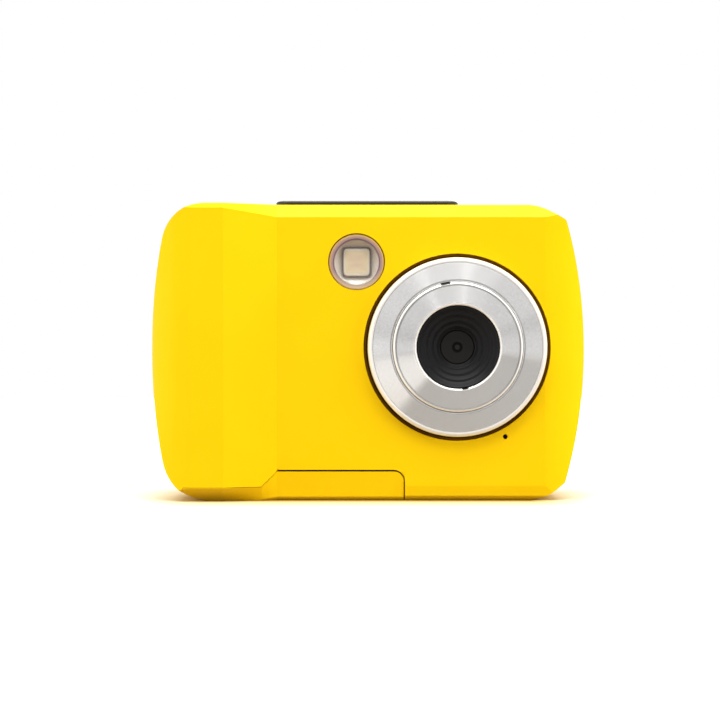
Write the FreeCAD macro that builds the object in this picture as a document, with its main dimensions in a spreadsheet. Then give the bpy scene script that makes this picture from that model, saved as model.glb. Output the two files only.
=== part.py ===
import FreeCAD, Part
import math
import os
import Sketcher

# A pocket-size waterproof camera. X runs to the right as seen from the front, the lens looks along
# -Y, and Z is up. The origin lies under the middle of the camera, on the surface that it stands on.

doc = FreeCAD.newDocument("waterproof_camera")
sheet = doc.addObject("Spreadsheet::Sheet", "sizes")

# Driving dimensions in millimetres, and angles in degrees.
SIZES = {
    # Case
    "case_width": 94.8,
    "case_height": 64.6,
    "case_front": 8.5,
    "case_back": 11.9,
    "seam_place": 4.0,
    "wall": 1.8,
    "left_side_radius": 112.0,
    "right_side_radius": 98.0,
    "side_middle": 33.0,
    "corner_run": 6.1,
    "corner_drop": 3.4,
    "foot_run": 5.0,
    "foot_drop": 3.8,
    "corner_soften": 1.0,
    "shoulder_soften": 10.0,
    "grip_top_radius": 9.8,
    "grip_foot_radius": 11.0,
    "back_edge_radius": 2.6,
    "facet_run": 9.0,
    "facet_depth": 3.6,
    "facet_curve": 16.0,
    "top_bevel_tall": 2.9,
    "top_bevel_deep": 2.2,
    "foot_lean_tall": 3.2,
    "foot_lean_deep": 0.45,
    "foot_bevel_tall": 1.25,
    "foot_bevel_deep": 1.9,
    "ridge_soften": 0.8,
    "seam_groove": 0.3,
    # Grip
    "grip_rise": 3.8,
    "ridge_inset": 16.1,
    "slope_inset": 27.5,
    "grip_curve_run": 8.9,
    "grip_curve_depth": 6.0,
    "grip_curve_radius": 11.0,
    "grip_bevel_tall": 1.2,
    "grip_bevel_deep": 1.5,
    "grip_foot_tall": 2.9,
    "grip_foot_deep": 4.4,
    # Lens
    "lens_x": 19.3,
    "lens_fall": 31.2,
    "lens_hole": 20.4,
    "lens_rim": 19.5,
    "lens_step": 14.1,
    "lens_mouth": 8.95,
    "rim_rise": 1.9,
    "rim_edge": 0.5,
    "step_rise": 3.3,
    "step_edge": 0.35,
    "mouth_rise": 4.2,
    "hood_depth": 3.4,
    "window_radius": 3.7,
    "window_thick": 0.7,
    "seat_flange": 1.2,
    "seat_sunk": 0.8,
    "seat_lip": 0.6,
    "barrel_radius": 5.5,
    "glass_radius": 1.3,
    "glass_crown": 0.35,
    "glass_deep": 1.8,
    "sensor_wide": 9.0,
    "sensor_thick": 0.9,
    # Flash
    "flash_x": 2.6,
    "flash_fall": 12.6,
    "flash_radius": 6.2,
    "flash_window_thick": 1.3,
    "flash_lamp_size": 6.2,
    "flash_lamp_bulge": 15.0,
    "flash_cup_floor": 2.6,
    "flash_cup_depth": 4.5,
    "flash_flange": 0.8,
    # Top
    "panel_left": 20.4,
    "panel_right": 19.8,
    "panel_front": 5.0,
    "panel_back": 6.6,
    "panel_proud": 1.05,
    "panel_sunk": 0.9,
    "panel_corner": 2.4,
    "panel_rim": 0.45,
    "button_y": 0.3,
    "button_proud": 0.15,
    "button_flange": 0.5,
    "button_flange_gap": 0.4,
    "shutter_x": 11.5,
    "shutter_long": 13.0,
    "shutter_wide": 6.4,
    "power_x": 3.5,
    "power_radius": 2.7,
    "top_travel": 0.6,
    "switch_wide": 3.5,
    "switch_tall": 1.8,
    "top_board_thick": 1.0,
    # Back keys
    "keys_inset": 15.9,
    "nav_z": 29.5,
    "nav_outer": 8.6,
    "nav_inner": 4.7,
    "nav_split": 1.0,
    "ok_radius": 3.5,
    "round_key_radius": 2.5,
    "key_pitch": 5.4,
    "mode_key_z": 44.5,
    "menu_key_z": 14.5,
    "zoom_key_z": 52.8,
    "zoom_key_long": 5.0,
    "zoom_key_tall": 4.4,
    "zoom_pitch": 4.4,
    "key_proud": 0.8,
    "key_gap": 0.2,
    "key_flange": 0.5,
    "key_travel": 0.6,
    "dome_radius": 1.4,
    "light_radius": 0.8,
    # Display
    "display_x": 11.2,
    "display_fall": 29.0,
    "display_glass_wide": 55.0,
    "display_glass_tall": 39.0,
    "display_glass_thick": 1.2,
    "display_glass_proud": 0.2,
    "display_glass_corner": 2.0,
    "display_frame": 1.4,
    "display_module_wide": 54.0,
    "display_module_tall": 38.6,
    "display_module_thick": 2.4,
    # Battery door and battery bay
    "door_inset": 5.2,
    "door_end": 1.4,
    "door_gap": 0.25,
    "flap_gap": 0.4,
    "tight_gap": 0.1,
    "flap_top": 6.3,
    "flap_lean": 3.3,
    "flap_corner": 2.1,
    "flap_set": 0.7,
    "flap_low": 3.0,
    "door_thick": 2.6,
    "hinge_y": 7.3,
    "hinge_z": 1.6,
    "hinge_pin_radius": 0.65,
    "hinge_pin_fit": 0.06,
    "hinge_relief": 1.85,
    "hinge_inset": 4.6,
    "hinge_end": 2.8,
    "lug_long": 2.4,
    "lug_radius": 1.35,
    "lug_clear": 0.25,
    "bay_front": 6.0,
    "bay_back": 6.4,
    "bay_floor": 4.0,
    "bay_wall": 0.9,
    "holder_foot_top": 12.4,
    "cell_radius": 5.25,
    "cell_long": 44.5,
    "cell_fit": 0.25,
    "cell_inset": 12.7,
    "cell_pitch": 11.2,
    "cell_y": 0.2,
    "cell_foot": 4.6,
    "contact_room": 1.1,
    "contact_wide": 6.0,
    "contact_thick": 0.45,
    "usb_pitch": 10.8,
    "usb_wide": 7.6,
    "usb_thick": 3.0,
    "usb_top": 10.4,
    "card_pitch": 10.3,
    "card_wide": 11.2,
    "card_thick": 1.8,
    "card_top": 11.6,
    "latch_travel": 2.5,
    "latch_tongue_low": 1.1,
    "latch_tongue_wide": 4.0,
    "latch_tongue_thick": 0.9,
    "latch_fit": 0.1,
    "latch_room": 0.2,
    "latch_lead": 4.8,
    "latch_knob_long": 7.0,
    "latch_knob_wide": 5.0,
    "gasket_wide": 1.1,
    # Fixings
    "tripod_x": 26.0,
    "tripod_y": 1.5,
    "tripod_thread": 2.55,
    "tripod_bush": 4.5,
    "tripod_long": 5.5,
    "strap_fall": 15.3,
    "strap_y": 7.2,
    "strap_tall": 8.0,
    "strap_wide": 3.6,
    "strap_deep": 3.4,
    "strap_wall": 1.4,
    "strap_thin": 0.7,
    "strap_bar_radius": 0.75,
    "strap_bar_end": 0.9,
    "screw_head": 2.0,
    "screw_head_thick": 1.0,
    "screw_shank": 0.9,
    "screw_long": 10.0,
    "screw_inset": 7.0,
    "screw_side": 11.0,
    "screw_mid_x": 20.5,
    "screw_mid_drop": 5.8,
    "screw_door": 4.4,
    "screw_boss": 2.4,
    "mic_side": 10.5,
    "mic_drop": 19.5,
    "mic_hole": 0.55,
    "board_y": 1.0,
    "board_thick": 1.2,
    "board_low": 13.0,
    "board_side": 4.4,
    "board_drop": 4.0,
    "post_radius": 1.8,
    "post_inset": 3.0,
    "buzzer_radius": 4.5,
    "buzzer_thick": 2.6,
    "buzzer_z": 27.0,
}


class Size:
    """A length with its number and the sheet expression that gives it."""

    def __init__(self, value, text):
        self.value = value
        self.text = text

    def __add__(self, other):
        other = as_size(other)
        return Size(self.value + other.value, f"({self.text} + {other.text})")

    def __radd__(self, other):
        return as_size(other) + self

    def __sub__(self, other):
        other = as_size(other)
        return Size(self.value - other.value, f"({self.text} - {other.text})")

    def __rsub__(self, other):
        return as_size(other) - self

    def __mul__(self, other):
        other = as_size(other)
        return Size(self.value * other.value, f"({self.text} * {other.text})")

    def __rmul__(self, other):
        return as_size(other) * self

    def __truediv__(self, other):
        other = as_size(other)
        return Size(self.value / other.value, f"({self.text} / {other.text})")

    def __neg__(self):
        return Size(-self.value, f"(0 - {self.text})")


def as_size(value):
    if isinstance(value, Size):
        return value
    return Size(float(value), f"({float(value):.9f})")


def root(value):
    return Size(math.sqrt(value.value), f"sqrt({value.text})")


class Named:
    """Holds each driving dimension under its own name."""


size = Named()
for row, (alias, value) in enumerate(SIZES.items(), start=1):
    sheet.set(f"A{row}", alias.replace("_", " "))
    sheet.set(f"B{row}", str(value))
    sheet.setAlias(f"B{row}", alias)
    setattr(size, alias, Size(value, f"sizes.{alias}"))
doc.recompute()


# Making features

def bind(thing, path, value):
    thing.setExpression(path, as_size(value).text)


def place(thing, x=0, y=0, z=0):
    bind(thing, "Placement.Base.x", x)
    bind(thing, "Placement.Base.y", y)
    bind(thing, "Placement.Base.z", z)


def new_body(name):
    body = doc.addObject("PartDesign::Body", name)
    body.Label = name
    return body


def new_sketch(body, name, plane, offset=0):
    """Offset is measured along the plane's own normal: -Y on XZ, +Z on XY and +X on YZ."""
    sketch = body.newObject("Sketcher::SketchObject", name)
    support = next(part for part in body.Origin.OriginFeatures if part.Role == plane)
    sketch.AttachmentSupport = [(support, "")]
    sketch.MapMode = "FlatFace"
    bind(sketch, "AttachmentOffset.Base.z", offset)
    return sketch


def hold_point(sketch, geometry, end, across, up):
    for kind, value in (("DistanceX", as_size(across)), ("DistanceY", as_size(up))):
        index = sketch.addConstraint(Sketcher.Constraint(kind, -1, 1, geometry, end, value.value))
        sketch.setExpression(f"Constraints[{index}]", value.text)


def draw_circle(sketch, across, up, radius):
    across, up, radius = as_size(across), as_size(up), as_size(radius)
    centre = FreeCAD.Vector(across.value, up.value, 0)
    circle = Part.Circle(centre, FreeCAD.Vector(0, 0, 1), radius.value)
    geometry = sketch.addGeometry(circle)
    hold_point(sketch, geometry, 3, across, up)
    index = sketch.addConstraint(Sketcher.Constraint("Radius", geometry, radius.value))
    sketch.setExpression(f"Constraints[{index}]", radius.text)


def arc_between(start, end, radius):
    """The arc that runs counterclockwise from start to end, less than half a turn."""
    middle = (start + end) * 0.5
    chord = end - start
    rise = math.sqrt(radius ** 2 - (chord.Length / 2) ** 2)
    inward = FreeCAD.Vector(-chord.y, chord.x, 0).normalize()
    centre = middle + inward * rise
    first = math.atan2(start.y - centre.y, start.x - centre.x)
    last = math.atan2(end.y - centre.y, end.x - centre.x)
    if last < first:
        last += 2 * math.pi
    circle = Part.Circle(centre, FreeCAD.Vector(0, 0, 1), radius)
    return Part.ArcOfCircle(circle, first, last)


def draw_outline(sketch, points, arcs=None):
    """A closed outline, counterclockwise. arcs maps a segment's number to its radius, and a
    negative radius hollows the outline there."""
    arcs = arcs or {}
    points = [(as_size(across), as_size(up)) for across, up in points]
    vectors = [FreeCAD.Vector(across.value, up.value, 0) for across, up in points]
    ends = []
    for number, start in enumerate(vectors):
        end = vectors[(number + 1) % len(vectors)]
        radius = arcs.get(number)
        if radius is None:
            geometry = sketch.addGeometry(Part.LineSegment(start, end))
            ends.append((geometry, 1, 2))
            continue
        radius = as_size(radius)
        if radius.value > 0:
            geometry = sketch.addGeometry(arc_between(start, end, radius.value))
            ends.append((geometry, 1, 2))
        else:
            geometry = sketch.addGeometry(arc_between(end, start, -radius.value))
            ends.append((geometry, 2, 1))
            radius = -radius
        index = sketch.addConstraint(Sketcher.Constraint("Radius", geometry, radius.value))
        sketch.setExpression(f"Constraints[{index}]", radius.text)
    for number, (across, up) in enumerate(points):
        geometry, first, last = ends[number]
        following = ends[(number + 1) % len(ends)]
        sketch.addConstraint(Sketcher.Constraint("Coincident", geometry, last, following[0], following[1]))
        hold_point(sketch, geometry, first, across, up)


def rectangle(x_low, x_high, y_low, y_high):
    return [(x_low, y_low), (x_high, y_low), (x_high, y_high), (x_low, y_high)]


def add_pad(body, sketch, length, reverse=False):
    pad = body.newObject("PartDesign::Pad", sketch.Name + "_pad")
    pad.Profile = sketch
    bind(pad, "Length", length)
    pad.Reversed = reverse
    body.Tip = pad
    doc.recompute()
    return pad


def add_pocket(body, sketch, length=None, reverse=False):
    """With no length the pocket runs right through on both sides."""
    before = body.Shape.Volume
    pocket = body.newObject("PartDesign::Pocket", sketch.Name + "_pocket")
    pocket.Profile = sketch
    if length is None:
        pocket.Type = "ThroughAll"
        pocket.Midplane = True
    else:
        bind(pocket, "Length", length)
        pocket.Reversed = reverse
    body.Tip = pocket
    doc.recompute()
    if body.Shape.Volume >= before:
        raise RuntimeError(f"{sketch.Name} cut nothing")
    return pocket


def add_revolution(body, sketch, kind="Revolution"):
    turn = body.newObject(f"PartDesign::{kind}", sketch.Name + "_turn")
    turn.Profile = sketch
    turn.ReferenceAxis = (sketch, ["V_Axis"])
    turn.Angle = 360
    body.Tip = turn
    doc.recompute()
    return turn


def edges_where(feature, test):
    return [f"Edge{number}" for number, edge in enumerate(feature.Shape.Edges, start=1) if test(edge)]


def add_fillet(body, feature, test, radius, kind="Fillet"):
    names = edges_where(feature, test)
    if not names:
        raise RuntimeError(f"{body.Label} has no such edge to round")
    rounding = body.newObject(f"PartDesign::{kind}", f"{body.Name}_{kind.lower()}")
    rounding.Base = (feature, names)
    bind(rounding, "Radius" if kind == "Fillet" else "Size", radius)
    body.Tip = rounding
    doc.recompute()
    return rounding


def along(axis, **where):
    """A test for straight edges along an axis, through the given coordinates."""
    def test(edge):
        if len(edge.Vertexes) != 2:
            return False
        step = edge.Vertexes[1].Point - edge.Vertexes[0].Point
        spans = {"x": abs(step.x), "y": abs(step.y), "z": abs(step.z)}
        if abs(spans[axis] - edge.Length) > 0.001:
            return False
        return at(edge, **where)
    return test


def at(edge, **where):
    """True where every vertex of the edge lies at the given coordinates."""
    for name, value in where.items():
        for vertex in edge.Vertexes:
            if abs(getattr(vertex.Point, name) - as_size(value).value) > 0.01:
                return False
    return True


def box(name, x_low, x_high, y_low, y_high, z_low, z_high):
    block = doc.addObject("Part::Box", name)
    block.Label = name
    bind(block, "Length", x_high - x_low)
    bind(block, "Width", y_high - y_low)
    bind(block, "Height", z_high - z_low)
    place(block, x_low, y_low, z_low)
    return block


TURNS = {
    "x": FreeCAD.Rotation(FreeCAD.Vector(0, 1, 0), 90),
    "y": FreeCAD.Rotation(FreeCAD.Vector(1, 0, 0), -90),
    "-y": FreeCAD.Rotation(FreeCAD.Vector(1, 0, 0), 90),
    "z": FreeCAD.Rotation(),
}


def cylinder(name, axis, radius, length, x=0, y=0, z=0):
    rod = doc.addObject("Part::Cylinder", name)
    rod.Label = name
    bind(rod, "Radius", radius)
    bind(rod, "Height", length)
    rod.Placement = FreeCAD.Placement(FreeCAD.Vector(), TURNS[axis])
    place(rod, x, y, z)
    return rod


def fuse(name, parts):
    joined = doc.addObject("Part::MultiFuse", name)
    joined.Label = name
    joined.Shapes = parts
    joined.Refine = True
    return joined


def cut(name, base, tools):
    if len(tools) > 1:
        tool = fuse(name + "_tools", tools)
    else:
        tool = tools[0]
    result = doc.addObject("Part::Cut", name)
    result.Label = name
    result.Base = base
    result.Tool = tool
    result.Refine = True
    return result


def common(name, base, tool):
    result = doc.addObject("Part::Common", name)
    result.Label = name
    result.Base = base
    result.Tool = tool
    result.Refine = True
    return result


nodes = []


def keep(part):
    nodes.append(part)
    return part


# Planes and edges that several pieces share

half_width = size.case_width / 2
grip_front = size.case_front + size.grip_rise
front_inside = size.case_front - size.wall
back_inside = size.case_back - size.wall
ridge_place = half_width - size.ridge_inset
slope_end = half_width - size.slope_inset
facet_start = half_width - size.facet_run
lens_z = size.case_height - size.lens_fall
flash_z = size.case_height - size.flash_fall
beyond = 5.0
root_in = 0.3
fit = 0.1


def bulge(radius, height, inset):
    """How far a bulged side of the case stands from the middle at a height."""
    drawn = radius - inset
    rise = height - size.side_middle
    return half_width - radius + root(drawn * drawn - rise * rise)


def left_x(height, inset=0):
    return -bulge(size.left_side_radius, height, inset)


def right_x(height, inset=0):
    return bulge(size.right_side_radius, height, inset)


grip_side = left_x(size.grip_foot_radius)


def case_outline(inset):
    """The case seen from the front, drawn in by the inset."""
    low = as_size(inset)
    high = size.case_height - inset
    foot_z = size.foot_drop + inset
    shoulder_z = size.case_height - size.corner_drop - inset
    foot_x = right_x(foot_z, inset)
    shoulder_x = right_x(shoulder_z, inset)
    points = [
        (left_x(low, inset), low),
        (foot_x - size.foot_run, low),
        (foot_x, foot_z),
        (shoulder_x, shoulder_z),
        (shoulder_x - size.corner_run, high),
        (left_x(high, inset), high),
    ]
    arcs = {2: size.right_side_radius - inset, 5: size.left_side_radius - inset}
    return points, arcs


def case_form(name, front, depth, inset, grip_top, grip_foot, soften):
    """A block with the case's outline and rounded corners, from its front plane back."""
    body = new_body(name)
    sketch = new_sketch(body, name + "_outline", "XZ_Plane", front)
    points, arcs = case_outline(inset)
    draw_outline(sketch, points, arcs)
    solid = add_pad(body, sketch, depth, reverse=True)
    solid = add_fillet(body, solid, along("y", x=points[5][0], z=points[5][1]), grip_top)
    solid = add_fillet(body, solid, along("y", x=points[0][0], z=points[0][1]), grip_foot)
    for x, z in (points[1], points[4]):
        solid = add_fillet(body, solid, along("y", x=x, z=z), size.shoulder_soften)
    for x, z in (points[2], points[3]):
        solid = add_fillet(body, solid, along("y", x=x, z=z), soften)
    return body, solid


# Case blank: the outside of both shells and of the battery door in one closed form, from which
# each of them takes its part of the surface.

case_blank, blank_solid = case_form(
    "case_blank", grip_front, grip_front + size.case_back, 0,
    size.grip_top_radius, size.grip_foot_radius, size.corner_soften)


def is_back_rim(edge):
    return at(edge, y=size.case_back)


blank_solid = add_fillet(case_blank, blank_solid, is_back_rim, size.back_edge_radius)
facet_shift = 0.35
slope_shift = 0.15


def front_plan(inset):
    """What the front's plan takes off: the grip's slope, the flat front and the right-hand curve."""
    front = size.case_front - inset
    facet_x = facet_start - inset * facet_shift
    facet_y = -size.case_front + size.facet_depth + inset
    points = [
        (-ridge_place - inset * slope_shift, -(grip_front - inset)),
        (-ridge_place - inset * slope_shift, -(grip_front + beyond)),
        (half_width + beyond, -(grip_front + beyond)),
        (half_width + beyond, facet_y),
        (half_width - inset, facet_y),
        (facet_x, -front),
        (-slope_end - inset * slope_shift, -front),
    ]
    return points, {4: -size.facet_curve}


facet_sketch = new_sketch(case_blank, "front_plan", "XY_Plane")
draw_outline(facet_sketch, *front_plan(as_size(0)))
add_pocket(case_blank, facet_sketch)

grip_sketch = new_sketch(case_blank, "grip_plan", "XY_Plane")
grip_curve_start = half_width - size.grip_curve_run
draw_outline(
    grip_sketch,
    [
        (-grip_curve_start, -grip_front),
        (-half_width, -grip_front + size.grip_curve_depth),
        (-(half_width + beyond), -grip_front + size.grip_curve_depth),
        (-(half_width + beyond), -(grip_front + beyond)),
        (-grip_curve_start, -(grip_front + beyond)),
    ],
    {0: -size.grip_curve_radius},
)
grip_solid = add_pocket(case_blank, grip_sketch)
add_fillet(case_blank, grip_solid, along("z", x=-ridge_place, y=-grip_front), size.ridge_soften)
overrun = 0.1


def bevel_section(name, place, edge_z, top):
    """What a bevel takes off a long edge at one place, which is (x, front, tall, deep)."""
    x, front, tall, deep = place
    sign = 1 if top else -1
    low = edge_z - sign * tall * (1 + overrun)
    high = edge_z + sign * beyond
    points = [
        (-(front + deep * overrun), low),
        (-(front - deep * (1 + overrun)), edge_z + sign * tall * overrun),
        (-(front - deep * (1 + overrun)), high),
        (-(front + beyond), high),
        (-(front + beyond), low),
    ]
    if not top:
        points.reverse()
    sketch = new_sketch(case_blank, name, "YZ_Plane", x)
    draw_outline(sketch, points)
    return sketch


def cut_bevel(name, places, edge_z, top):
    sections = []
    for number, place in enumerate(places):
        sections.append(bevel_section(f"{name}_{number}", place, edge_z, top))
    doc.recompute()
    loft = case_blank.newObject("PartDesign::SubtractiveLoft", name)
    loft.Profile = sections[0]
    loft.Sections = sections[1:]
    loft.Ruled = True
    before = case_blank.Shape.Volume
    case_blank.Tip = loft
    doc.recompute()
    if case_blank.Shape.Volume >= before:
        raise RuntimeError(f"{name} cut nothing")
    return loft


def full_length(main, grip):
    """A bevel from end to end. It changes from the main front's size to the grip's on the slope."""
    return [
        (half_width + beyond, size.case_front, *main),
        (-slope_end, size.case_front, *main),
        (-ridge_place, grip_front, *grip),
        (-(half_width + beyond), grip_front, *grip),
    ]


flap_shift = size.flap_lean / (ridge_place - slope_end)
flap_foot_front = size.case_front + size.grip_rise * flap_shift
flap_foot_deep = size.foot_lean_deep + (size.grip_foot_deep - size.foot_lean_deep) * flap_shift
cells_x = grip_side + size.cell_inset
bay_left = cells_x - size.cell_radius - size.cell_fit - size.bay_wall
usb_x = cells_x + size.cell_pitch + size.usb_pitch
card_x = usb_x + size.card_pitch
bay_right = card_x + size.card_wide / 2 + size.bay_wall
door_right = bay_right + size.door_end
cut_bevel("top_bevel", full_length((size.top_bevel_tall, size.top_bevel_deep),
                                   (size.grip_bevel_tall, size.grip_bevel_deep)), size.case_height, True)
cut_bevel("foot_lean", full_length((size.foot_lean_tall, size.foot_lean_deep),
                                   (size.grip_foot_tall, size.grip_foot_deep)), as_size(0), False)
cut_bevel("flap_lean", [
    (door_right + size.door_gap, size.case_front, size.flap_top, size.flap_set),
    (-slope_end, size.case_front, size.flap_top, size.flap_set),
    (-slope_end - size.flap_lean, flap_foot_front, size.flap_low, flap_foot_deep),
], as_size(0), False)
cut_bevel("foot_bevel", full_length((size.foot_bevel_tall, size.foot_bevel_deep),
                                    (size.foot_bevel_tall, size.foot_bevel_deep)), as_size(0), False)

# Case hollow: the room inside the two shells.

case_hollow, hollow_solid = case_form(
    "case_hollow", front_inside, front_inside + back_inside, size.wall,
    size.grip_top_radius - size.wall, size.grip_foot_radius - size.wall, size.corner_soften / 2)
hollow_sketch = new_sketch(case_hollow, "hollow_plan", "XY_Plane")
draw_outline(hollow_sketch, *front_plan(size.wall))
add_pocket(case_hollow, hollow_sketch)

# Seam groove: the fine line around the case where the shells meet.

seam_core, core_solid = case_form(
    "seam_core", -(size.seam_place - size.seam_groove / 2), size.seam_groove, size.seam_groove,
    size.grip_top_radius - size.seam_groove, size.grip_foot_radius - size.seam_groove,
    size.corner_soften / 2)
seam_band = box(
    "seam_band", -(half_width + beyond), half_width + beyond,
    size.seam_place - size.seam_groove / 2, size.seam_place + size.seam_groove / 2,
    as_size(-1), size.case_height + 1)
seam_ring = cut("seam_ring", seam_band, [seam_core])

front_half = box(
    "front_half", -(half_width + beyond), half_width + beyond, -(grip_front + beyond), size.seam_place,
    as_size(-1), size.case_height + 1)
back_half = box(
    "back_half", -(half_width + beyond), half_width + beyond, size.seam_place, size.case_back + beyond,
    as_size(-1), size.case_height + 1)


def ring_body(name, x, z, points, arcs=None, pads=None):
    """A turned piece on an axis along Y. Points are (radius, distance in front of Y zero)."""
    body = new_body(name)
    body.Placement = FreeCAD.Placement(FreeCAD.Vector(), TURNS["-y"])
    place(body, x, 0, z)
    sketch = new_sketch(body, name + "_profile", "XZ_Plane")
    draw_outline(sketch, points, arcs)
    add_revolution(body, sketch)
    return body


# Lens opening with the lens seat behind it, a black ring that fills the hole in the front wall and
# carries both silver rings on its face. The gap around the silver rim shows it.

lens_hole = cylinder("lens_hole", "-y", size.lens_hole, beyond * 2,
                     size.lens_x, -front_inside + 1, lens_z)
seat_face = size.case_front - size.seat_sunk
seat_back = front_inside - size.seat_flange
seat_radius = size.lens_hole + size.seat_lip
seat_space = cylinder("seat_space", "-y", seat_radius + fit / 2, size.seat_flange + 1,
                      size.lens_x, -seat_back + 1, lens_z)
keep(ring_body("lens_seat", size.lens_x, lens_z, [
    (size.barrel_radius + fit, seat_back),
    (seat_radius, seat_back),
    (seat_radius, front_inside),
    (size.lens_hole - fit, front_inside),
    (size.lens_hole - fit, seat_face),
    (size.barrel_radius + fit, seat_face),
]))

# Outer silver ring: a shallow cone between the rim and the step, with a bright turned edge.

rim_top = size.case_front + size.rim_rise
step_top = size.case_front + size.step_rise
mouth_top = size.case_front + size.mouth_rise
keep(ring_body("lens_ring_outer", size.lens_x, lens_z, [
    (size.lens_step + fit, seat_face),
    (size.lens_rim, seat_face),
    (size.lens_rim, rim_top - size.rim_edge),
    (size.lens_rim - size.rim_edge, rim_top),
    (size.lens_step + fit + size.step_edge, step_top),
    (size.lens_step + fit, step_top - size.step_edge),
]))

# Inner silver ring: stands a step higher and ends at the lens mouth.

step_lift = 0.2
keep(ring_body("lens_ring_inner", size.lens_x, lens_z, [
    (size.lens_mouth, seat_face),
    (size.lens_step, seat_face),
    (size.lens_step, step_top + step_lift),
    (size.lens_step - size.step_edge, step_top + step_lift + size.step_edge),
    (size.lens_mouth + size.step_edge, mouth_top),
    (size.lens_mouth, mouth_top - size.step_edge),
]))

# Lens hood: a black baffle that goes down in four treads to the window.

hood_sunk = 0.5
hood_lip = 0.25
tread_fall = 0.12
tread_flat = 0.4
hood_top = mouth_top - hood_sunk
hood_radius = size.lens_mouth - fit
hood_steps = 4
tread_run = (hood_radius - hood_lip - size.window_radius - fit) / hood_steps
tread_drop = size.hood_depth / hood_steps
hood_points = [
    (size.window_radius + fit, seat_face),
    (hood_radius, seat_face),
    (hood_radius, hood_top),
    (hood_radius - hood_lip, hood_top),
]
for step in range(hood_steps):
    outer = hood_radius - hood_lip - tread_run * step
    level = hood_top - tread_drop * step
    hood_points.append((outer - tread_run * tread_flat, level - tread_fall))
    hood_points.append((outer - tread_run, level - tread_drop))
keep(ring_body("lens_hood", size.lens_x, lens_z, hood_points))

window_face = hood_top - size.hood_depth - fit / 2
window_back = window_face - size.window_thick
keep(ring_body("lens_window", size.lens_x, lens_z, [
    (0, window_back),
    (size.window_radius, window_back),
    (size.window_radius, window_face - fit),
    (size.window_radius - fit, window_face),
    (0, window_face),
]))

# Lens barrel: screws the lens down over the sensor, which sits on the main board.

sensor_face = size.sensor_thick - size.board_y
bore_radius = size.glass_radius + fit / 2
funnel_run = 0.9
funnel_deep = 0.5
keep(ring_body("lens_barrel", size.lens_x, lens_z, [
    (bore_radius, sensor_face),
    (size.barrel_radius, sensor_face),
    (size.barrel_radius, seat_face),
    (size.window_radius, seat_face),
    (size.window_radius, window_back),
    (size.glass_radius + funnel_run, window_back),
    (bore_radius, window_back - funnel_deep),
]))
glass_gap = 0.25
glass_front = window_back - glass_gap
crown_radius = (size.glass_radius * size.glass_radius + size.glass_crown * size.glass_crown) \
    / (size.glass_crown * 2)
keep(ring_body("lens_element", size.lens_x, lens_z, [
    (0, window_back - size.glass_deep),
    (size.glass_radius, window_back - size.glass_deep),
    (size.glass_radius, glass_front - size.glass_crown),
    (0, glass_front),
], {2: crown_radius}))
sensor_half = size.sensor_wide / 2
keep(box("image_sensor", size.lens_x - sensor_half, size.lens_x + sensor_half,
         size.board_y - size.sensor_thick, size.board_y, lens_z - sensor_half, lens_z + sensor_half))

# Flash: a clear round window over a cup that holds the square lamp.

flash_x = -size.flash_x
flash_edge = size.flash_radius - fit
flash_hole = cylinder("flash_hole", "-y", size.flash_radius, beyond * 2,
                      flash_x, -front_inside + 1, flash_z)
flash_face = size.case_front + fit
flash_chamfer = 0.3
cup_rim = flash_face - size.flash_window_thick
keep(ring_body("flash_window", flash_x, flash_z, [
    (0, cup_rim),
    (flash_edge, cup_rim),
    (flash_edge, flash_face - flash_chamfer),
    (flash_edge - flash_chamfer, flash_face),
    (0, flash_face),
]))
cup_floor = cup_rim - size.flash_cup_floor
cup_back = cup_rim - size.flash_cup_depth
cup_wall = 1.1
cup_taper = 0.4
flange_back = front_inside - size.seat_flange
keep(ring_body("flash_housing", flash_x, flash_z, [
    (0, cup_back),
    (flash_edge, cup_back),
    (flash_edge, flange_back),
    (size.flash_radius + size.flash_flange, flange_back),
    (size.flash_radius + size.flash_flange, front_inside),
    (flash_edge, front_inside),
    (flash_edge, cup_rim),
    (flash_edge - cup_wall, cup_rim),
    (flash_edge - cup_wall - cup_taper, cup_floor),
    (0, cup_floor),
]))
lamp_half = size.flash_lamp_size / 2
lamp_face = cup_rim - 0.3
lamp_corner = 0.9
flash_lamp = new_body("flash_lamp")
lamp_sketch = new_sketch(flash_lamp, "flash_lamp_outline", "XZ_Plane", lamp_face)
draw_outline(lamp_sketch, rectangle(flash_x - lamp_half, flash_x + lamp_half,
                                    flash_z - lamp_half, flash_z + lamp_half),
             {side: size.flash_lamp_bulge for side in range(4)})
lamp_solid = add_pad(flash_lamp, lamp_sketch, lamp_face - cup_floor, reverse=True)
lamp_solid = add_fillet(flash_lamp, lamp_solid, along("y"), lamp_corner)
keep(flash_lamp)

# Microphone: sits behind a pinhole below the lens.

mic_x = size.lens_x + size.mic_side
mic_z = lens_z - size.mic_drop
mic_radius = 1.0
mic_long = 1.6
mic_hole = cylinder("mic_hole", "-y", size.mic_hole, beyond * 2, mic_x, -front_inside + 1, mic_z)
keep(cylinder("microphone", "-y", mic_radius, mic_long, mic_x, mic_long - front_inside, mic_z))

# Main board, with the buzzer on its front face, held by four posts behind the front wall.

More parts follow.
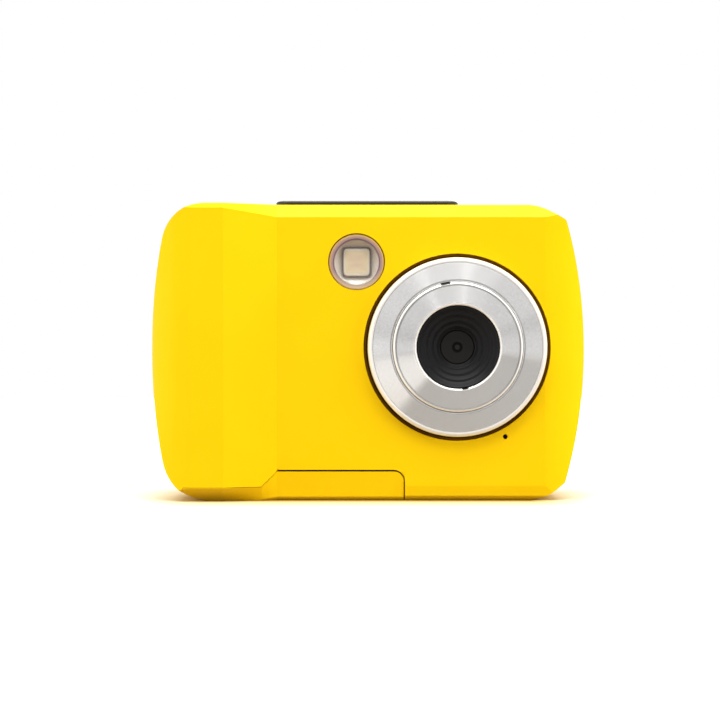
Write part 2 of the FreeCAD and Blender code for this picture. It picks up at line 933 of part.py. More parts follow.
tower_right = cells_x + size.cell_pitch + size.cell_radius + size.cell_fit + size.bay_wall
board_left = tower_right + 0.7
board_right = half_width - size.board_side
top_inside = size.case_height - size.wall
flange_low = top_inside - size.button_flange_gap - size.button_flange
switch_top = flange_low - size.top_travel - fit
top_board_top = switch_top - size.switch_tall
top_board_low = top_board_top - size.top_board_thick
board_high = top_board_low - size.board_drop
keep(box("main_board", board_left, board_right, size.board_y, size.board_y + size.board_thick,
         size.board_low, board_high))
buzzer_place = 7.0
keep(cylinder("buzzer", "-y", size.buzzer_radius, size.buzzer_thick, board_left + buzzer_place,
              size.board_y, size.buzzer_z))
post_long = front_inside + root_in + size.board_y
low_post = size.board_low + size.post_inset
post_left = board_left + size.post_inset
post_right = board_right - size.post_inset - 2
post_places = [
    (post_left, low_post),
    (post_left, flash_z - size.flash_radius - size.flash_flange - size.post_inset),
    (post_right, low_post),
    (post_right, board_high - size.post_inset),
]
board_posts = []
for x, z in post_places:
    board_posts.append(cylinder("board_post", "y", size.post_radius, post_long, x,
                                -(front_inside + root_in), z))

# Top panel: a black strip let into the top across both shells, with the shutter and power buttons.


def rounded_block(name, x_low, x_high, y_low, y_high, z_low, z_high, corner, rim=None):
    """A block with rounded upright corners and, with a rim, a softened upper edge."""
    body = new_body(name)
    sketch = new_sketch(body, name + "_plan", "XY_Plane", z_low)
    draw_outline(sketch, rectangle(x_low, x_high, y_low, y_high))
    solid = add_pad(body, sketch, z_high - z_low)
    solid = add_fillet(body, solid, along("z"), corner)
    if rim is not None:
        solid = add_fillet(body, solid, lambda edge: at(edge, z=z_high), rim)
    return body


panel_floor = size.case_height - size.panel_sunk
panel_top = size.case_height + size.panel_proud
button_top = panel_top + size.button_proud
button_y = -size.button_y
panel_plate = rounded_block("panel_plate", -size.panel_left, size.panel_right, -size.panel_front,
                            size.panel_back, panel_floor, panel_top, size.panel_corner, size.panel_rim)
panel_space = rounded_block("panel_space", -(size.panel_left + fit), size.panel_right + fit,
                            -(size.panel_front + fit), size.panel_back + fit,
                            panel_floor, panel_top, size.panel_corner + fit)
shutter_x = -size.shutter_x
shutter_half_long = size.shutter_long / 2
shutter_half_wide = size.shutter_wide / 2
button_fit = 0.15


def shutter_block(name, grow, z_low, z_high, rim=None):
    return rounded_block(name, shutter_x - shutter_half_long - grow, shutter_x + shutter_half_long + grow,
                         button_y - shutter_half_wide - grow, button_y + shutter_half_wide + grow,
                         z_low, z_high, shutter_half_wide + grow - fit, rim)


shutter_space = shutter_block("shutter_space", button_fit, top_inside - 1, panel_top + 1)
power_space = cylinder("power_space", "z", size.power_radius + button_fit, panel_top + 2 - top_inside,
                       size.power_x, button_y, top_inside - 1)
keep(cut("top_panel", panel_plate, [shutter_space, power_space]))
flange_high = flange_low + size.button_flange
shutter_rim = 0.5
shutter_cap = shutter_block("shutter_cap", 0, flange_low, button_top, shutter_rim)
shutter_flange = shutter_block("shutter_flange", size.button_flange, flange_low, flange_high)
keep(fuse("shutter_button", [shutter_cap, shutter_flange]))


def turned_up(name, x, y, points):
    """A turned piece on an upright axis. Points are (radius, height)."""
    body = new_body(name)
    place(body, x, y, 0)
    sketch = new_sketch(body, name + "_profile", "XZ_Plane")
    draw_outline(sketch, points)
    add_revolution(body, sketch)
    return body


power_rim = 0.35
keep(turned_up("power_button", size.power_x, button_y, [
    (0, flange_low),
    (size.power_radius + size.button_flange, flange_low),
    (size.power_radius + size.button_flange, flange_high),
    (size.power_radius, flange_high),
    (size.power_radius, button_top - power_rim),
    (size.power_radius - power_rim, button_top),
    (0, button_top - fit),
]))

# Top board: carries a switch under each button and rests on two ledges of the front shell.

switch_half = size.switch_wide / 2
plate_step = 0.2
plate_end = 2.0
plate_fore = 2.3
plate_aft = 3.6
top_board_left = shutter_x - shutter_half_long + plate_step
top_board_right = size.power_x + size.power_radius + plate_end
top_board_front = button_y - plate_fore
top_board_back = button_y + plate_aft
top_board_plate = box("top_board_plate", top_board_left, top_board_right, top_board_front,
                      top_board_back, top_board_low, top_board_top)
switches = []
for x in (shutter_x, size.power_x):
    switches.append(box("switch", x - switch_half, x + switch_half, button_y - switch_half,
                        button_y + switch_half, top_board_top - root_in, switch_top))
keep(fuse("top_board", [top_board_plate] + switches))
ledge_wide = 2.0
ledge_thick = 1.2
ledge_short = 1.3
ledges = []
for x in (board_left, top_board_right - root_in - ledge_wide):
    ledges.append(box("ledge", x, x + ledge_wide, -(front_inside + root_in), top_board_back - ledge_short,
                      top_board_low - ledge_thick, top_board_low))

# Battery door: the bottom of the case from the grip to the middle, with a flap that folds up over the
# front. It takes its outside from the case blank and turns on a pin at the back.

door_left = grip_side + size.door_inset
hinge_left = door_left + size.hinge_inset
hinge_right = door_right - size.hinge_end


def door_outline(side, top, tight):
    """The door's part of the case as seen from the front, grown by the gaps around it."""
    return [
        (door_left - tight, -beyond),
        (door_right + side, -beyond),
        (door_right + side, size.flap_top - size.flap_corner),
        (door_right + side - size.flap_corner - top, size.flap_top + top),
        (size.flap_gap - slope_end, size.flap_top + top),
        (-slope_end - tight / 2, size.flap_top + tight / 2),
        (-slope_end - size.flap_lean - tight / 2, size.flap_low + tight),
        (door_left - tight, size.flap_low + tight),
    ]


def door_prism(name, side, top, tight, back):
    body = new_body(name)
    sketch = new_sketch(body, name + "_outline", "XZ_Plane", grip_front + beyond)
    draw_outline(sketch, door_outline(side, top, tight), {2: size.flap_corner + top})
    add_pad(body, sketch, grip_front + beyond + back, reverse=True)
    return body


door_region = door_prism("door_region", as_size(0), as_size(0), as_size(0), size.hinge_y)
door_space = door_prism("door_space", size.door_gap, size.flap_gap, size.tight_gap, size.seam_place + 1)
seam_end = cylinder("seam_end", "-y", 0.35, as_size(3), size.flap_gap / 2 - slope_end,
                    -(size.case_front - 1), size.flap_top + size.flap_gap / 2)
door_inside = box("door_inside", door_left - 1, door_right + 1, -front_inside, size.hinge_y + 4,
                  size.door_thick, as_size(12))
door_skin = common("door_skin", case_blank, door_region)
barrel_radius = size.hinge_z
pin_long = hinge_right - hinge_left
hinge_barrel = cylinder("hinge_barrel", "x", barrel_radius, door_right - hinge_left,
                        hinge_left, size.hinge_y, size.hinge_z)
barrel_tail = cylinder("barrel_tail", "x", barrel_radius, size.hinge_inset + root_in,
                       door_left, size.hinge_y, size.hinge_z)
barrel_end = common("barrel_end", case_blank, barrel_tail)
door_shell = cut("door_shell", door_skin, [door_inside])
door_blank = fuse("door_blank", [door_shell, hinge_barrel, barrel_end])

lug_starts = [
    hinge_left,
    (hinge_left + hinge_right - size.lug_long) / 2,
    hinge_right - size.lug_long,
]
lug_spaces = []
lugs = []
for start in lug_starts:
    lug_spaces.append(box("lug_space", start - size.lug_clear, start + size.lug_long + size.lug_clear,
                          size.hinge_y - size.hinge_relief - fit, size.hinge_y + 4,
                          as_size(-1), as_size(4.5)))
    lugs.append(cylinder("lug_eye", "x", size.lug_radius, size.lug_long,
                         start, size.hinge_y, size.hinge_z))
    lugs.append(box("lug_arm", start, start + size.lug_long, size.hinge_y, back_inside + root_in,
                    size.hinge_z - size.lug_radius, size.hinge_z + size.lug_radius))
pin_bore = cylinder("pin_bore", "x", size.hinge_pin_radius + size.hinge_pin_fit,
                    pin_long + 2, hinge_left - 1, size.hinge_y, size.hinge_z)
keep(cylinder("hinge_pin", "x", size.hinge_pin_radius, pin_long,
              hinge_left, size.hinge_y, size.hinge_z))

# Door latch: a ridged slider in the door's underside. Its tongue runs out of the door's end into a
# keeper in the front shell, and is drawn back inside the door when the latch is open.

tongue_low = size.latch_tongue_low
tongue_high = tongue_low + size.latch_tongue_thick
tongue_half = size.latch_tongue_wide / 2
tongue_sunk = 0.5
tongue_end = door_right - tongue_sunk
knob_half = size.latch_knob_wide / 2
knob_start = tongue_end - size.latch_lead - size.latch_knob_long
bottom_rise = 0.15
knob_low = as_size(bottom_rise)
latch_fit = size.latch_fit
latch_room = size.latch_room
latch_channel = box("latch_channel", knob_start - latch_room, door_right + 1,
                    -tongue_half - latch_fit, tongue_half + latch_fit,
                    tongue_low - latch_fit, tongue_high + latch_fit)
knob_recess = box("knob_recess", knob_start - latch_room,
                  knob_start + size.latch_knob_long + size.latch_travel + latch_room,
                  -knob_half - latch_room, knob_half + latch_room, as_size(-1), tongue_low - latch_fit)
keep(cut("bottom_door", door_blank, lug_spaces + [pin_bore, latch_channel, knob_recess]))
latch_tongue = box("latch_tongue", knob_start, tongue_end, -tongue_half, tongue_half,
                   tongue_low, tongue_high)
ridge_tall = 0.4
ridge_gap = 0.8
latch_stem = box("latch_stem", knob_start, knob_start + size.latch_knob_long, -tongue_half, tongue_half,
                 knob_low + ridge_tall, tongue_low + size.latch_fit)
latch_plate = box("latch_plate", knob_start, knob_start + size.latch_knob_long, -knob_half, knob_half,
                  knob_low + ridge_tall - 0.1, tongue_low - latch_fit * 2)
latch_ridges = []
ridge_count = 4
ridge_pitch = size.latch_knob_long / ridge_count
for number in range(ridge_count):
    start = knob_start + ridge_pitch * number + ridge_gap / 2
    latch_ridges.append(box("latch_ridge", start, start + ridge_pitch - ridge_gap,
                            root_in - knob_half, knob_half - root_in, knob_low, knob_low + ridge_tall))
keep(fuse("door_latch", [latch_tongue, latch_stem, latch_plate] + latch_ridges))
keeper_long = 4.2
keeper_wall = 1.3
keeper_block = box("keeper_block", door_right + size.door_gap, door_right + keeper_long,
                   -tongue_half - keeper_wall, tongue_half + keeper_wall, as_size(1),
                   tongue_high + keeper_wall)
keeper_slot = box("keeper_slot", door_right, tongue_end + size.latch_travel + root_in,
                  -tongue_half - latch_fit, tongue_half + latch_fit,
                  tongue_low - latch_fit, tongue_high + latch_fit)

# Battery holder: a black block with two open-ended bores for the cells and, beside them, the pockets
# for the sockets that the door also covers.

bay_floor = size.bay_floor
cell_y = size.cell_y
cell_places = [cells_x, cells_x + size.cell_pitch]
cell_top = size.cell_foot + size.cell_long
bore_radius = size.cell_radius + size.cell_fit
holder_cap = 1.3
holder_top = cell_top + size.contact_room + holder_cap
holder_tower = box("holder_tower", bay_left, tower_right, -size.bay_front, size.bay_back,
                   bay_floor, holder_top)
holder_foot = box("holder_foot", tower_right - 1, bay_right, -size.bay_front, size.bay_back,
                  bay_floor, size.holder_foot_top)
screw_mid_z = size.case_height - size.screw_mid_drop
boss_room = cylinder("boss_room", "y", size.screw_boss + 0.6, size.bay_front + size.bay_back + 2,
                     -size.screw_mid_x, -size.bay_front - 1, screw_mid_z)
cell_edge = 0.4
cell_shoulder = 0.9
cell_button = 1.9
holder_tools = [boss_room]
for number, x in enumerate(cell_places, start=1):
    holder_tools.append(cylinder("cell_bore", "z", bore_radius,
                                 cell_top + size.contact_room - bay_floor + 1, x, cell_y, bay_floor - 1))
    keep(turned_up(f"battery_{number}", x, cell_y, [
        (0, size.cell_foot),
        (size.cell_radius - cell_edge, size.cell_foot),
        (size.cell_radius, size.cell_foot + cell_edge),
        (size.cell_radius, cell_top - cell_shoulder - cell_edge),
        (size.cell_radius - cell_edge, cell_top - cell_shoulder),
        (cell_button, cell_top - cell_shoulder),
        (cell_button, cell_top),
        (0, cell_top),
    ]))
contact_inset = 1.2
contact_left = bay_left + contact_inset
contact_right = tower_right - contact_inset
contact_half = size.contact_wide / 2
contact_low = cell_top + 0.25
contact_high = contact_low + size.contact_thick
contact_slot = box("contact_slot", contact_left, contact_right, cell_y - contact_half,
                   cell_y + contact_half, contact_low - root_in, contact_high + 0.02)
usb_half = size.usb_wide / 2
card_half = size.card_wide / 2
socket_low = bay_floor + 0.5
usb_pocket = box("usb_pocket", usb_x - usb_half, usb_x + usb_half, -size.usb_thick / 2,
                 size.usb_thick / 2, bay_floor - 1, size.usb_top)
card_pocket = box("card_pocket", card_x - card_half, card_x + card_half, -size.card_thick / 2,
                  size.card_thick / 2, bay_floor - 1, size.card_top)
keep(cut("battery_holder", fuse("holder_block", [holder_tower, holder_foot]),
         holder_tools + [contact_slot, usb_pocket, card_pocket]))


def socket(name, x, half_long, half_thick, top, skin, tongue):
    """A metal shell that opens downwards, with the contact tongue inside it."""
    blade_inset = 1.2
    shell = box(name + "_shell", x - half_long, x + half_long, -half_thick, half_thick, socket_low, top)
    mouth = box(name + "_mouth", x - half_long + skin, x + half_long - skin, skin - half_thick,
                half_thick - skin, socket_low - 1, top - skin)
    blade = box(name + "_blade", x - half_long + blade_inset, x + half_long - blade_inset,
                half_thick - skin - tongue, half_thick - skin + fit, socket_low + 0.8,
                top - skin + fit)
    return fuse(name, [cut(name + "_hollow", shell, [mouth]), blade])


keep(socket("usb_socket", usb_x, usb_half, size.usb_thick / 2, size.usb_top, 0.35, 0.7))
keep(socket("card_socket", card_x, card_half, size.card_thick / 2, size.card_top, 0.25, 0.35))

# Contacts: a plate over both cells at the top of the holder, and one with two domes on the door.

keep(box("upper_contact", contact_left, contact_right, cell_y - contact_half, cell_y + contact_half,
         contact_low, contact_high))
plate_top = size.door_thick + size.contact_thick
plate_past = 3.5
dome_foot = 2.6
dome_tip = 1.2
contact_plate = box("contact_plate", cell_places[0] - plate_past, cell_places[1] + plate_past,
                    cell_y - contact_half, cell_y + contact_half, size.door_thick, plate_top)
domes = []
for x in cell_places:
    dome = doc.addObject("Part::Cone", "contact_dome")
    bind(dome, "Radius1", dome_foot)
    bind(dome, "Radius2", dome_tip)
    bind(dome, "Height", size.cell_foot - size.latch_room - plate_top)
    place(dome, x, cell_y, plate_top)
    domes.append(dome)
keep(fuse("door_contact", [contact_plate] + domes))

# Door gasket: a rubber frame on the inside of the door that closes against the holder's foot.

gasket_left = bay_left + 0.7
gasket_right = bay_right - 0.2
gasket_front = -(size.bay_front - 0.2)
gasket_back = size.bay_back - 1.1
gasket_wide = size.gasket_wide
gasket_corner = 2.4
door_gasket = new_body("door_gasket")
gasket_sketch = new_sketch(door_gasket, "door_gasket_plan", "XY_Plane", size.door_thick)
draw_outline(gasket_sketch, rectangle(gasket_left, gasket_right, gasket_front, gasket_back))
draw_outline(gasket_sketch, rectangle(gasket_left + gasket_wide, gasket_right - gasket_wide,
                                      gasket_front + gasket_wide, gasket_back - gasket_wide))
gasket_solid = add_pad(door_gasket, gasket_sketch, bay_floor - fit - size.door_thick)
for x in (gasket_left, gasket_right):
    gasket_solid = add_fillet(door_gasket, gasket_solid, along("z", x=x), gasket_corner)
for x in (gasket_left + gasket_wide, gasket_right - gasket_wide):
    gasket_solid = add_fillet(door_gasket, gasket_solid, along("z", x=x), gasket_corner - gasket_wide)
keep(door_gasket)

# Tripod bush: brass, moulded into the front shell's floor.

bush_low = as_size(bottom_rise)
tripod_y = -size.tripod_y
bush_high = bush_low + size.tripod_long
bush_space = cylinder("bush_space", "z", size.tripod_bush, bush_high + 1, size.tripod_x, tripod_y, -1)
bush_boss = cylinder("bush_boss", "z", size.tripod_bush + 0.5, bush_high, size.tripod_x, tripod_y, 1)
keep(turned_up("tripod_bush", size.tripod_x, tripod_y, [
    (size.tripod_thread, bush_low),
    (size.tripod_bush, bush_low),
    (size.tripod_bush, bush_high),
    (size.tripod_thread, bush_high),
]))

# Strap bar: a steel pin across a recess in the grip's side, where the wrist strap is looped.

strap_half = size.strap_tall / 2
strap_z = size.case_height - size.strap_fall
strap_face = left_x(strap_z)
strap_floor = strap_face + size.strap_deep
strap_low = strap_z - strap_half
strap_high = strap_z + strap_half
strap_front = size.strap_y - size.strap_wide / 2
strap_back = size.strap_y + size.strap_wide / 2
strap_wall = size.strap_wall
strap_skin = 1.1
strap_pocket = box("strap_pocket", -(half_width + beyond), strap_floor, strap_front, strap_back,
                   strap_low, strap_high)
strap_block = box("strap_block", strap_face + strap_skin, strap_floor + strap_wall,
                  strap_front - size.strap_thin, strap_back + size.strap_thin,
                  strap_low - strap_wall, strap_high + strap_wall)
bar_x = strap_face + size.strap_bar_radius * 2
bar_ends = size.strap_bar_end
strap_bar_hole = cylinder("strap_bar_hole", "z", size.strap_bar_radius + 0.03,
                          size.strap_tall + bar_ends * 2 + 0.2, bar_x, size.strap_y,
                          strap_low - bar_ends - 0.1)
keep(cylinder("strap_bar", "z", size.strap_bar_radius, size.strap_tall + bar_ends * 2,
              bar_x, size.strap_y, strap_low - bar_ends))

# Display: a glossy window let into the back, with the display module behind it.

display_z = size.case_height - size.display_fall
glass_half_wide = size.display_glass_wide / 2
glass_half_tall = size.display_glass_tall / 2
glass_face = size.case_back + size.display_glass_proud
glass_back = glass_face - size.display_glass_thick
glass_corner = size.display_glass_corner
glass_edge = 0.25


def upright_block(name, x, z, half_wide, half_tall, front, back, corner, rim=None):
    """A block seen from the back, with rounded corners and, with a rim, a softened outer edge."""
    body = new_body(name)
    sketch = new_sketch(body, name + "_outline", "XZ_Plane", -front)
    draw_outline(sketch, rectangle(x - half_wide, x + half_wide, z - half_tall, z + half_tall))
    solid = add_pad(body, sketch, back - front, reverse=True)
    solid = add_fillet(body, solid, along("y"), corner)
    if rim is not None:
        solid = add_fillet(body, solid, lambda edge: at(edge, y=back), rim)
    return body


keep(upright_block("display_window", size.display_x, display_z, glass_half_wide, glass_half_tall,
                   glass_back, glass_face, glass_corner, glass_edge))
glass_space = upright_block("glass_space", size.display_x, display_z, glass_half_wide + fit,
                            glass_half_tall + fit, glass_back, size.case_back + 2, glass_corner + fit)
view_space = upright_block("view_space", size.display_x, display_z, glass_half_wide - size.display_frame,
                           glass_half_tall - size.display_frame, back_inside - 1, size.case_back + 1,
                           glass_corner / 2)
module_half_wide = size.display_module_wide / 2
module_half_tall = size.display_module_tall / 2
module_front = back_inside - size.display_module_thick
keep(box("display_module", size.display_x - module_half_wide, size.display_x + module_half_wide,
         module_front, back_inside, display_z - module_half_tall, display_z + module_half_tall))

# Back keys: each cap stands through the back wall, with a flange inside that keeps it in.

key_back = size.case_back + size.key_proud
key_front = back_inside - root_in - size.key_flange
flange_grow = 0.3
cap_edge = 0.3
cap_corner = 0.6
keys_x = size.keys_inset - half_width
diagonal = root(as_size(2))


def is_cap_rim(edge):
    return at(edge, y=key_back)


def is_cap_corner(edge):
    """The upright edges of a cap, which end at its face. A round cap's own seam isn't one."""
    return along("y")(edge) and any(abs(vertex.Y - key_back.value) < 0.01 for vertex in edge.Vertexes)


def round_outline(x, z, radius):
    def draw(sketch, grow):
        draw_circle(sketch, x, z, radius + grow)
    draw.corners = False
    return draw


def pill_outline(x, z, half_long, half_tall):
    def draw(sketch, grow):
        points = rectangle(x - half_long - grow, x + half_long + grow, z - half_tall - grow,
                           z + half_tall + grow)
        end_radius = (half_tall + grow) * 1.12
        draw_outline(sketch, points, {1: end_radius, 3: end_radius})
    draw.corners = True
    return draw


def arrow_outline(x, z, turns):
    """A quarter of the ring around the OK key, turned to its side."""
    def draw(sketch, grow):
        offset = (size.nav_split / 2 - grow) * diagonal
        corners = []
        for radius in (size.nav_outer + grow, size.nav_inner - grow):
            across = (root(radius * radius * 2 - offset * offset) - offset) / 2
            corners.append((across, across + offset))
        (out_x, out_z), (in_x, in_z) = corners
        points = [(out_x, out_z), (-out_x, out_z), (-in_x, in_z), (in_x, in_z)]
        for _ in range(turns):
            points = [(-up, across) for across, up in points]
        points = [(x + across, z + up) for across, up in points]
        draw_outline(sketch, points, {0: size.nav_outer + grow, 2: -(size.nav_inner - grow)})
    draw.corners = True
    return draw


zoom_left = keys_x - size.zoom_pitch
zoom_right = keys_x + size.zoom_pitch
key_left = keys_x - size.key_pitch
key_right = keys_x + size.key_pitch
zoom_half_long = size.zoom_key_long / 2
zoom_half_tall = size.zoom_key_tall / 2
key_drawings = {
    "zoom_wide_key": pill_outline(zoom_right, size.zoom_key_z, zoom_half_long, zoom_half_tall),
    "zoom_tele_key": pill_outline(zoom_left, size.zoom_key_z, zoom_half_long, zoom_half_tall),
    "mode_key": round_outline(key_right, size.mode_key_z, size.round_key_radius),
    "playback_key": round_outline(key_left, size.mode_key_z, size.round_key_radius),
    "menu_key": round_outline(key_right, size.menu_key_z, size.round_key_radius),
    "delete_key": round_outline(key_left, size.menu_key_z, size.round_key_radius),
    "ok_key": round_outline(keys_x, size.nav_z, size.ok_radius),
    "up_key": arrow_outline(keys_x, size.nav_z, 0),
    "right_key": arrow_outline(keys_x, size.nav_z, 1),
    "down_key": arrow_outline(keys_x, size.nav_z, 2),
    "left_key": arrow_outline(keys_x, size.nav_z, 3),
}
key_spaces = []
for name, draw in key_drawings.items():
    body = new_body(name)
    flange_sketch = new_sketch(body, name + "_flange", "XZ_Plane", -key_front)
    draw(flange_sketch, as_size(flange_grow))
    add_pad(body, flange_sketch, size.key_flange, reverse=True)
    cap_sketch = new_sketch(body, name + "_cap", "XZ_Plane", -key_front)
    draw(cap_sketch, as_size(0))
    cap = add_pad(body, cap_sketch, key_back - key_front, reverse=True)
    if draw.corners:
        cap = add_fillet(body, cap, is_cap_corner, cap_corner)
    add_fillet(body, cap, is_cap_rim, cap_edge)
    keep(body)
    space = new_body(name + "_space")
    space_sketch = new_sketch(space, name + "_space_outline", "XZ_Plane", -(back_inside - 1))
    draw(space_sketch, size.key_gap)
    add_pad(space, space_sketch, size.wall + 2, reverse=True)
    key_spaces.append(space)

# Key membrane: a rubber sheet behind the keys with a dome under each of them.

membrane_front = size.bay_back + fit / 2
membrane_top = key_front - size.key_travel - fit
dome_tall = 1.2
sheet_past = 0.4
sheet_back = membrane_top - dome_tall
sheet_half = size.nav_outer + sheet_past
membrane_sheet = box("membrane_sheet", keys_x - sheet_half, keys_x + sheet_half, membrane_front,
                     sheet_back, size.menu_key_z - size.round_key_radius - sheet_past,
                     size.zoom_key_z + size.zoom_key_tall / 2 + sheet_past)
dome_places = [
    (zoom_left, size.zoom_key_z), (zoom_right, size.zoom_key_z),
    (key_left, size.mode_key_z), (key_right, size.mode_key_z),
    (key_left, size.menu_key_z), (key_right, size.menu_key_z),
    (keys_x, size.nav_z),
]
nav_middle = (size.nav_inner + size.nav_outer) / 2
for across, up in ((0, 1), (-1, 0), (0, -1), (1, 0)):
    dome_places.append((keys_x + nav_middle * across, size.nav_z + nav_middle * up))
membrane_domes = []
for x, z in dome_places:
    membrane_domes.append(cylinder("key_dome", "y", size.dome_radius, dome_tall + root_in,
                                   x, sheet_back - root_in, z))
keep(fuse("key_membrane", [membrane_sheet] + membrane_domes))

# Status light: a small clear pipe through the back between the mode and playback keys.

light_edge = 0.05
light_flange = size.light_radius + 0.6
light_face = size.case_back + 0.15
light_hole = cylinder("light_hole", "y", size.light_radius + light_edge, size.wall + 2,
                      keys_x, back_inside - 1, size.mode_key_z)
keep(ring_body("status_light", keys_x, size.mode_key_z, [
    (0, -light_face),
    (size.light_radius, light_edge - light_face),
    (size.light_radius, -back_inside),
    (light_flange, -back_inside),
    (light_flange, 1 - back_inside),
    (0, 1 - back_inside),
]))

# Case screws: four of them, from the back through the rear shell into the front shell's bosses.

screw_side_x = half_width - size.screw_side
screw_places = [
    (screw_side_x, size.screw_inset),
    (screw_side_x, size.case_height - size.screw_inset),
    (-size.screw_mid_x, screw_mid_z),
    (door_right + size.screw_door, size.screw_inset),
]
screw_seat = back_inside + 0.5
screw_fit = 0.04
socket_radius = 0.9
socket_deep = 0.6
well_room = 0.15
screws = []
front_bosses = []
back_bosses = []
screw_holes = []
screw_wells = []
for x, z in screw_places:
    shank = cylinder("screw_shank", "y", size.screw_shank, size.screw_long,
                     x, screw_seat - size.screw_long, z)
    head = cylinder("screw_head", "y", size.screw_head, size.screw_head_thick, x, screw_seat, z)
    head_socket = cylinder("screw_socket", "y", socket_radius, socket_deep + 1,
                           x, screw_seat + size.screw_head_thick - socket_deep, z)
    screws.append(cut("case_screw", fuse("screw_blank", [shank, head]), [head_socket]))
    front_bosses.append(cylinder("front_boss", "y", size.screw_boss,
                                 front_inside + root_in + size.seam_place, x, -(front_inside + root_in), z))
    back_bosses.append(cylinder("back_boss", "y", size.screw_boss + 0.2, screw_seat - size.seam_place,
                                x, size.seam_place, z))
    screw_holes.append(cylinder("screw_hole", "y", size.screw_shank + screw_fit, size.screw_long + 1,
                                x, screw_seat - size.screw_long - 0.5, z))
    screw_wells.append(cylinder("screw_well", "y", size.screw_head + well_room, 3.0, x, screw_seat, z))
case_screws = doc.addObject("Part::Compound", "case_screws")
case_screws.Label = "case_screws"
case_screws.Links = screws
keep(case_screws)

# Front shell

front_skin = cut("front_skin", common("front_form", case_blank, front_half), [case_hollow])
front_built = fuse("front_built", [front_skin, bush_boss, keeper_block] + board_posts + ledges
                   + front_bosses)
keep(cut("front_shell", front_built, [
    lens_hole, seat_space, flash_hole, mic_hole, panel_space, shutter_space, power_space, door_space,
    seam_end, bush_space, keeper_slot, seam_ring,
] + screw_holes))

# Rear shell

hinge_space = box("hinge_space", door_left - size.door_gap, door_right + size.door_gap,
                  as_size(-2), size.hinge_y + size.hinge_relief, as_size(-1), as_size(3.8))
hinge_roof = box("hinge_roof", door_left - root_in, door_right + size.door_gap + root_in,
                 size.bay_back + fit, back_inside + root_in, as_size(3.8), as_size(4.8))
back_skin = cut("back_skin", common("back_form", case_blank, back_half), [case_hollow, hinge_space])
back_built = fuse("back_built", [back_skin, strap_block, hinge_roof] + back_bosses + lugs)
pin_seat = cylinder("pin_seat", "x", size.hinge_pin_radius, pin_long + 2,
                    hinge_left - 1, size.hinge_y, size.hinge_z)
keep(cut("back_shell", back_built, [
    panel_space, shutter_space, glass_space, view_space, light_hole, strap_pocket, strap_bar_hole,
    pin_seat, seam_ring,
] + key_spaces + screw_holes + screw_wells))

# Body seal: a rubber cord along the seam, open where the battery door passes.

seal_wide = 1.1
seal_ahead = 0.5
seal_room = 0.15
seal_inset = 1.0
seal_past = 1.5
seal_outer, seal_outer_solid = case_form(
    "seal_outer", -(size.seam_place - seal_ahead), as_size(seal_wide), size.wall + seal_room,
    size.grip_top_radius - size.wall, size.grip_foot_radius - size.wall, size.corner_soften)
seal_inner, seal_inner_solid = case_form(
    "seal_inner", -(size.seam_place - seal_ahead * 2), as_size(seal_wide * 2), size.wall + seal_inset,
    size.grip_top_radius - size.wall - seal_inset, size.grip_foot_radius - size.wall - seal_inset,
    size.corner_soften / 2)
seal_gap = box("seal_gap", door_left - seal_past, door_right + seal_past, as_size(0), as_size(8),
               as_size(-1), as_size(7))
keep(cut("body_seal", seal_outer, [seal_inner, seal_gap]))


# Write every piece

doc.recompute()
for item in doc.Objects:
    if "Invalid" in item.State or "Error" in item.State:
        raise RuntimeError(f"{item.Label} could not be built: {item.State}")
os.makedirs("parts", exist_ok=True)
for part in nodes:
    shape = part.Shape
    if shape.isNull() or not shape.isValid():
        raise RuntimeError(f"{part.Label} has no valid shape")
    shape.exportStep(f"parts/{part.Label}.step")
    print(part.Label, len(shape.Solids), round(shape.Volume, 1))
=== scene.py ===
import math

import bmesh
import bpy
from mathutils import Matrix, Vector


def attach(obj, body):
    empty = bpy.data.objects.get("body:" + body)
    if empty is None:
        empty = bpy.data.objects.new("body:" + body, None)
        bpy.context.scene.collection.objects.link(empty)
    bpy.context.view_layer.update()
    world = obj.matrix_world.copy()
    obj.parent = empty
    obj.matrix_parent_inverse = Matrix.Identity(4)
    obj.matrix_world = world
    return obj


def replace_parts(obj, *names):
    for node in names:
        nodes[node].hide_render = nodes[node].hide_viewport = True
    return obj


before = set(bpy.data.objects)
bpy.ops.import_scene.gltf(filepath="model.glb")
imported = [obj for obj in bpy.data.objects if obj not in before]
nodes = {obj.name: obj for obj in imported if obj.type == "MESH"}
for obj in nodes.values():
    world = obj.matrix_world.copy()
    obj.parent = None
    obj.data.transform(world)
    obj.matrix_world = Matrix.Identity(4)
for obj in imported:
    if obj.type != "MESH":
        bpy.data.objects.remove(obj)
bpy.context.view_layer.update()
scene = bpy.context.scene
MM = 0.001

# Camera: straight in front of the product, as high as its middle, with a short telephoto lens. The
# square picture takes in picture_width of the plane that the front wall lies in.
sensor_width = 36.0
picture_width = 156.7 * MM
camera_distance = 330.0 * MM
front_wall_y = -8.5 * MM
picture_middle_x = -1.85 * MM
picture_middle_z = 30.6 * MM
camera_data = bpy.data.cameras.new("camera")
camera_data.sensor_width = sensor_width
camera_data.lens = sensor_width * camera_distance / picture_width
camera = bpy.data.objects.new("camera", camera_data)
camera.location = (picture_middle_x, front_wall_y - camera_distance, picture_middle_z)
camera.rotation_euler = (math.radians(90), 0, 0)
scene.collection.objects.link(camera)
scene.camera = camera
scene.view_settings.view_transform = "Standard"

# Studio: an even white room. Metal and glass see it brighter, in sectors, and darker in front, where
# the photographer stands, so that the front faces keep their colour and only the edges shine.


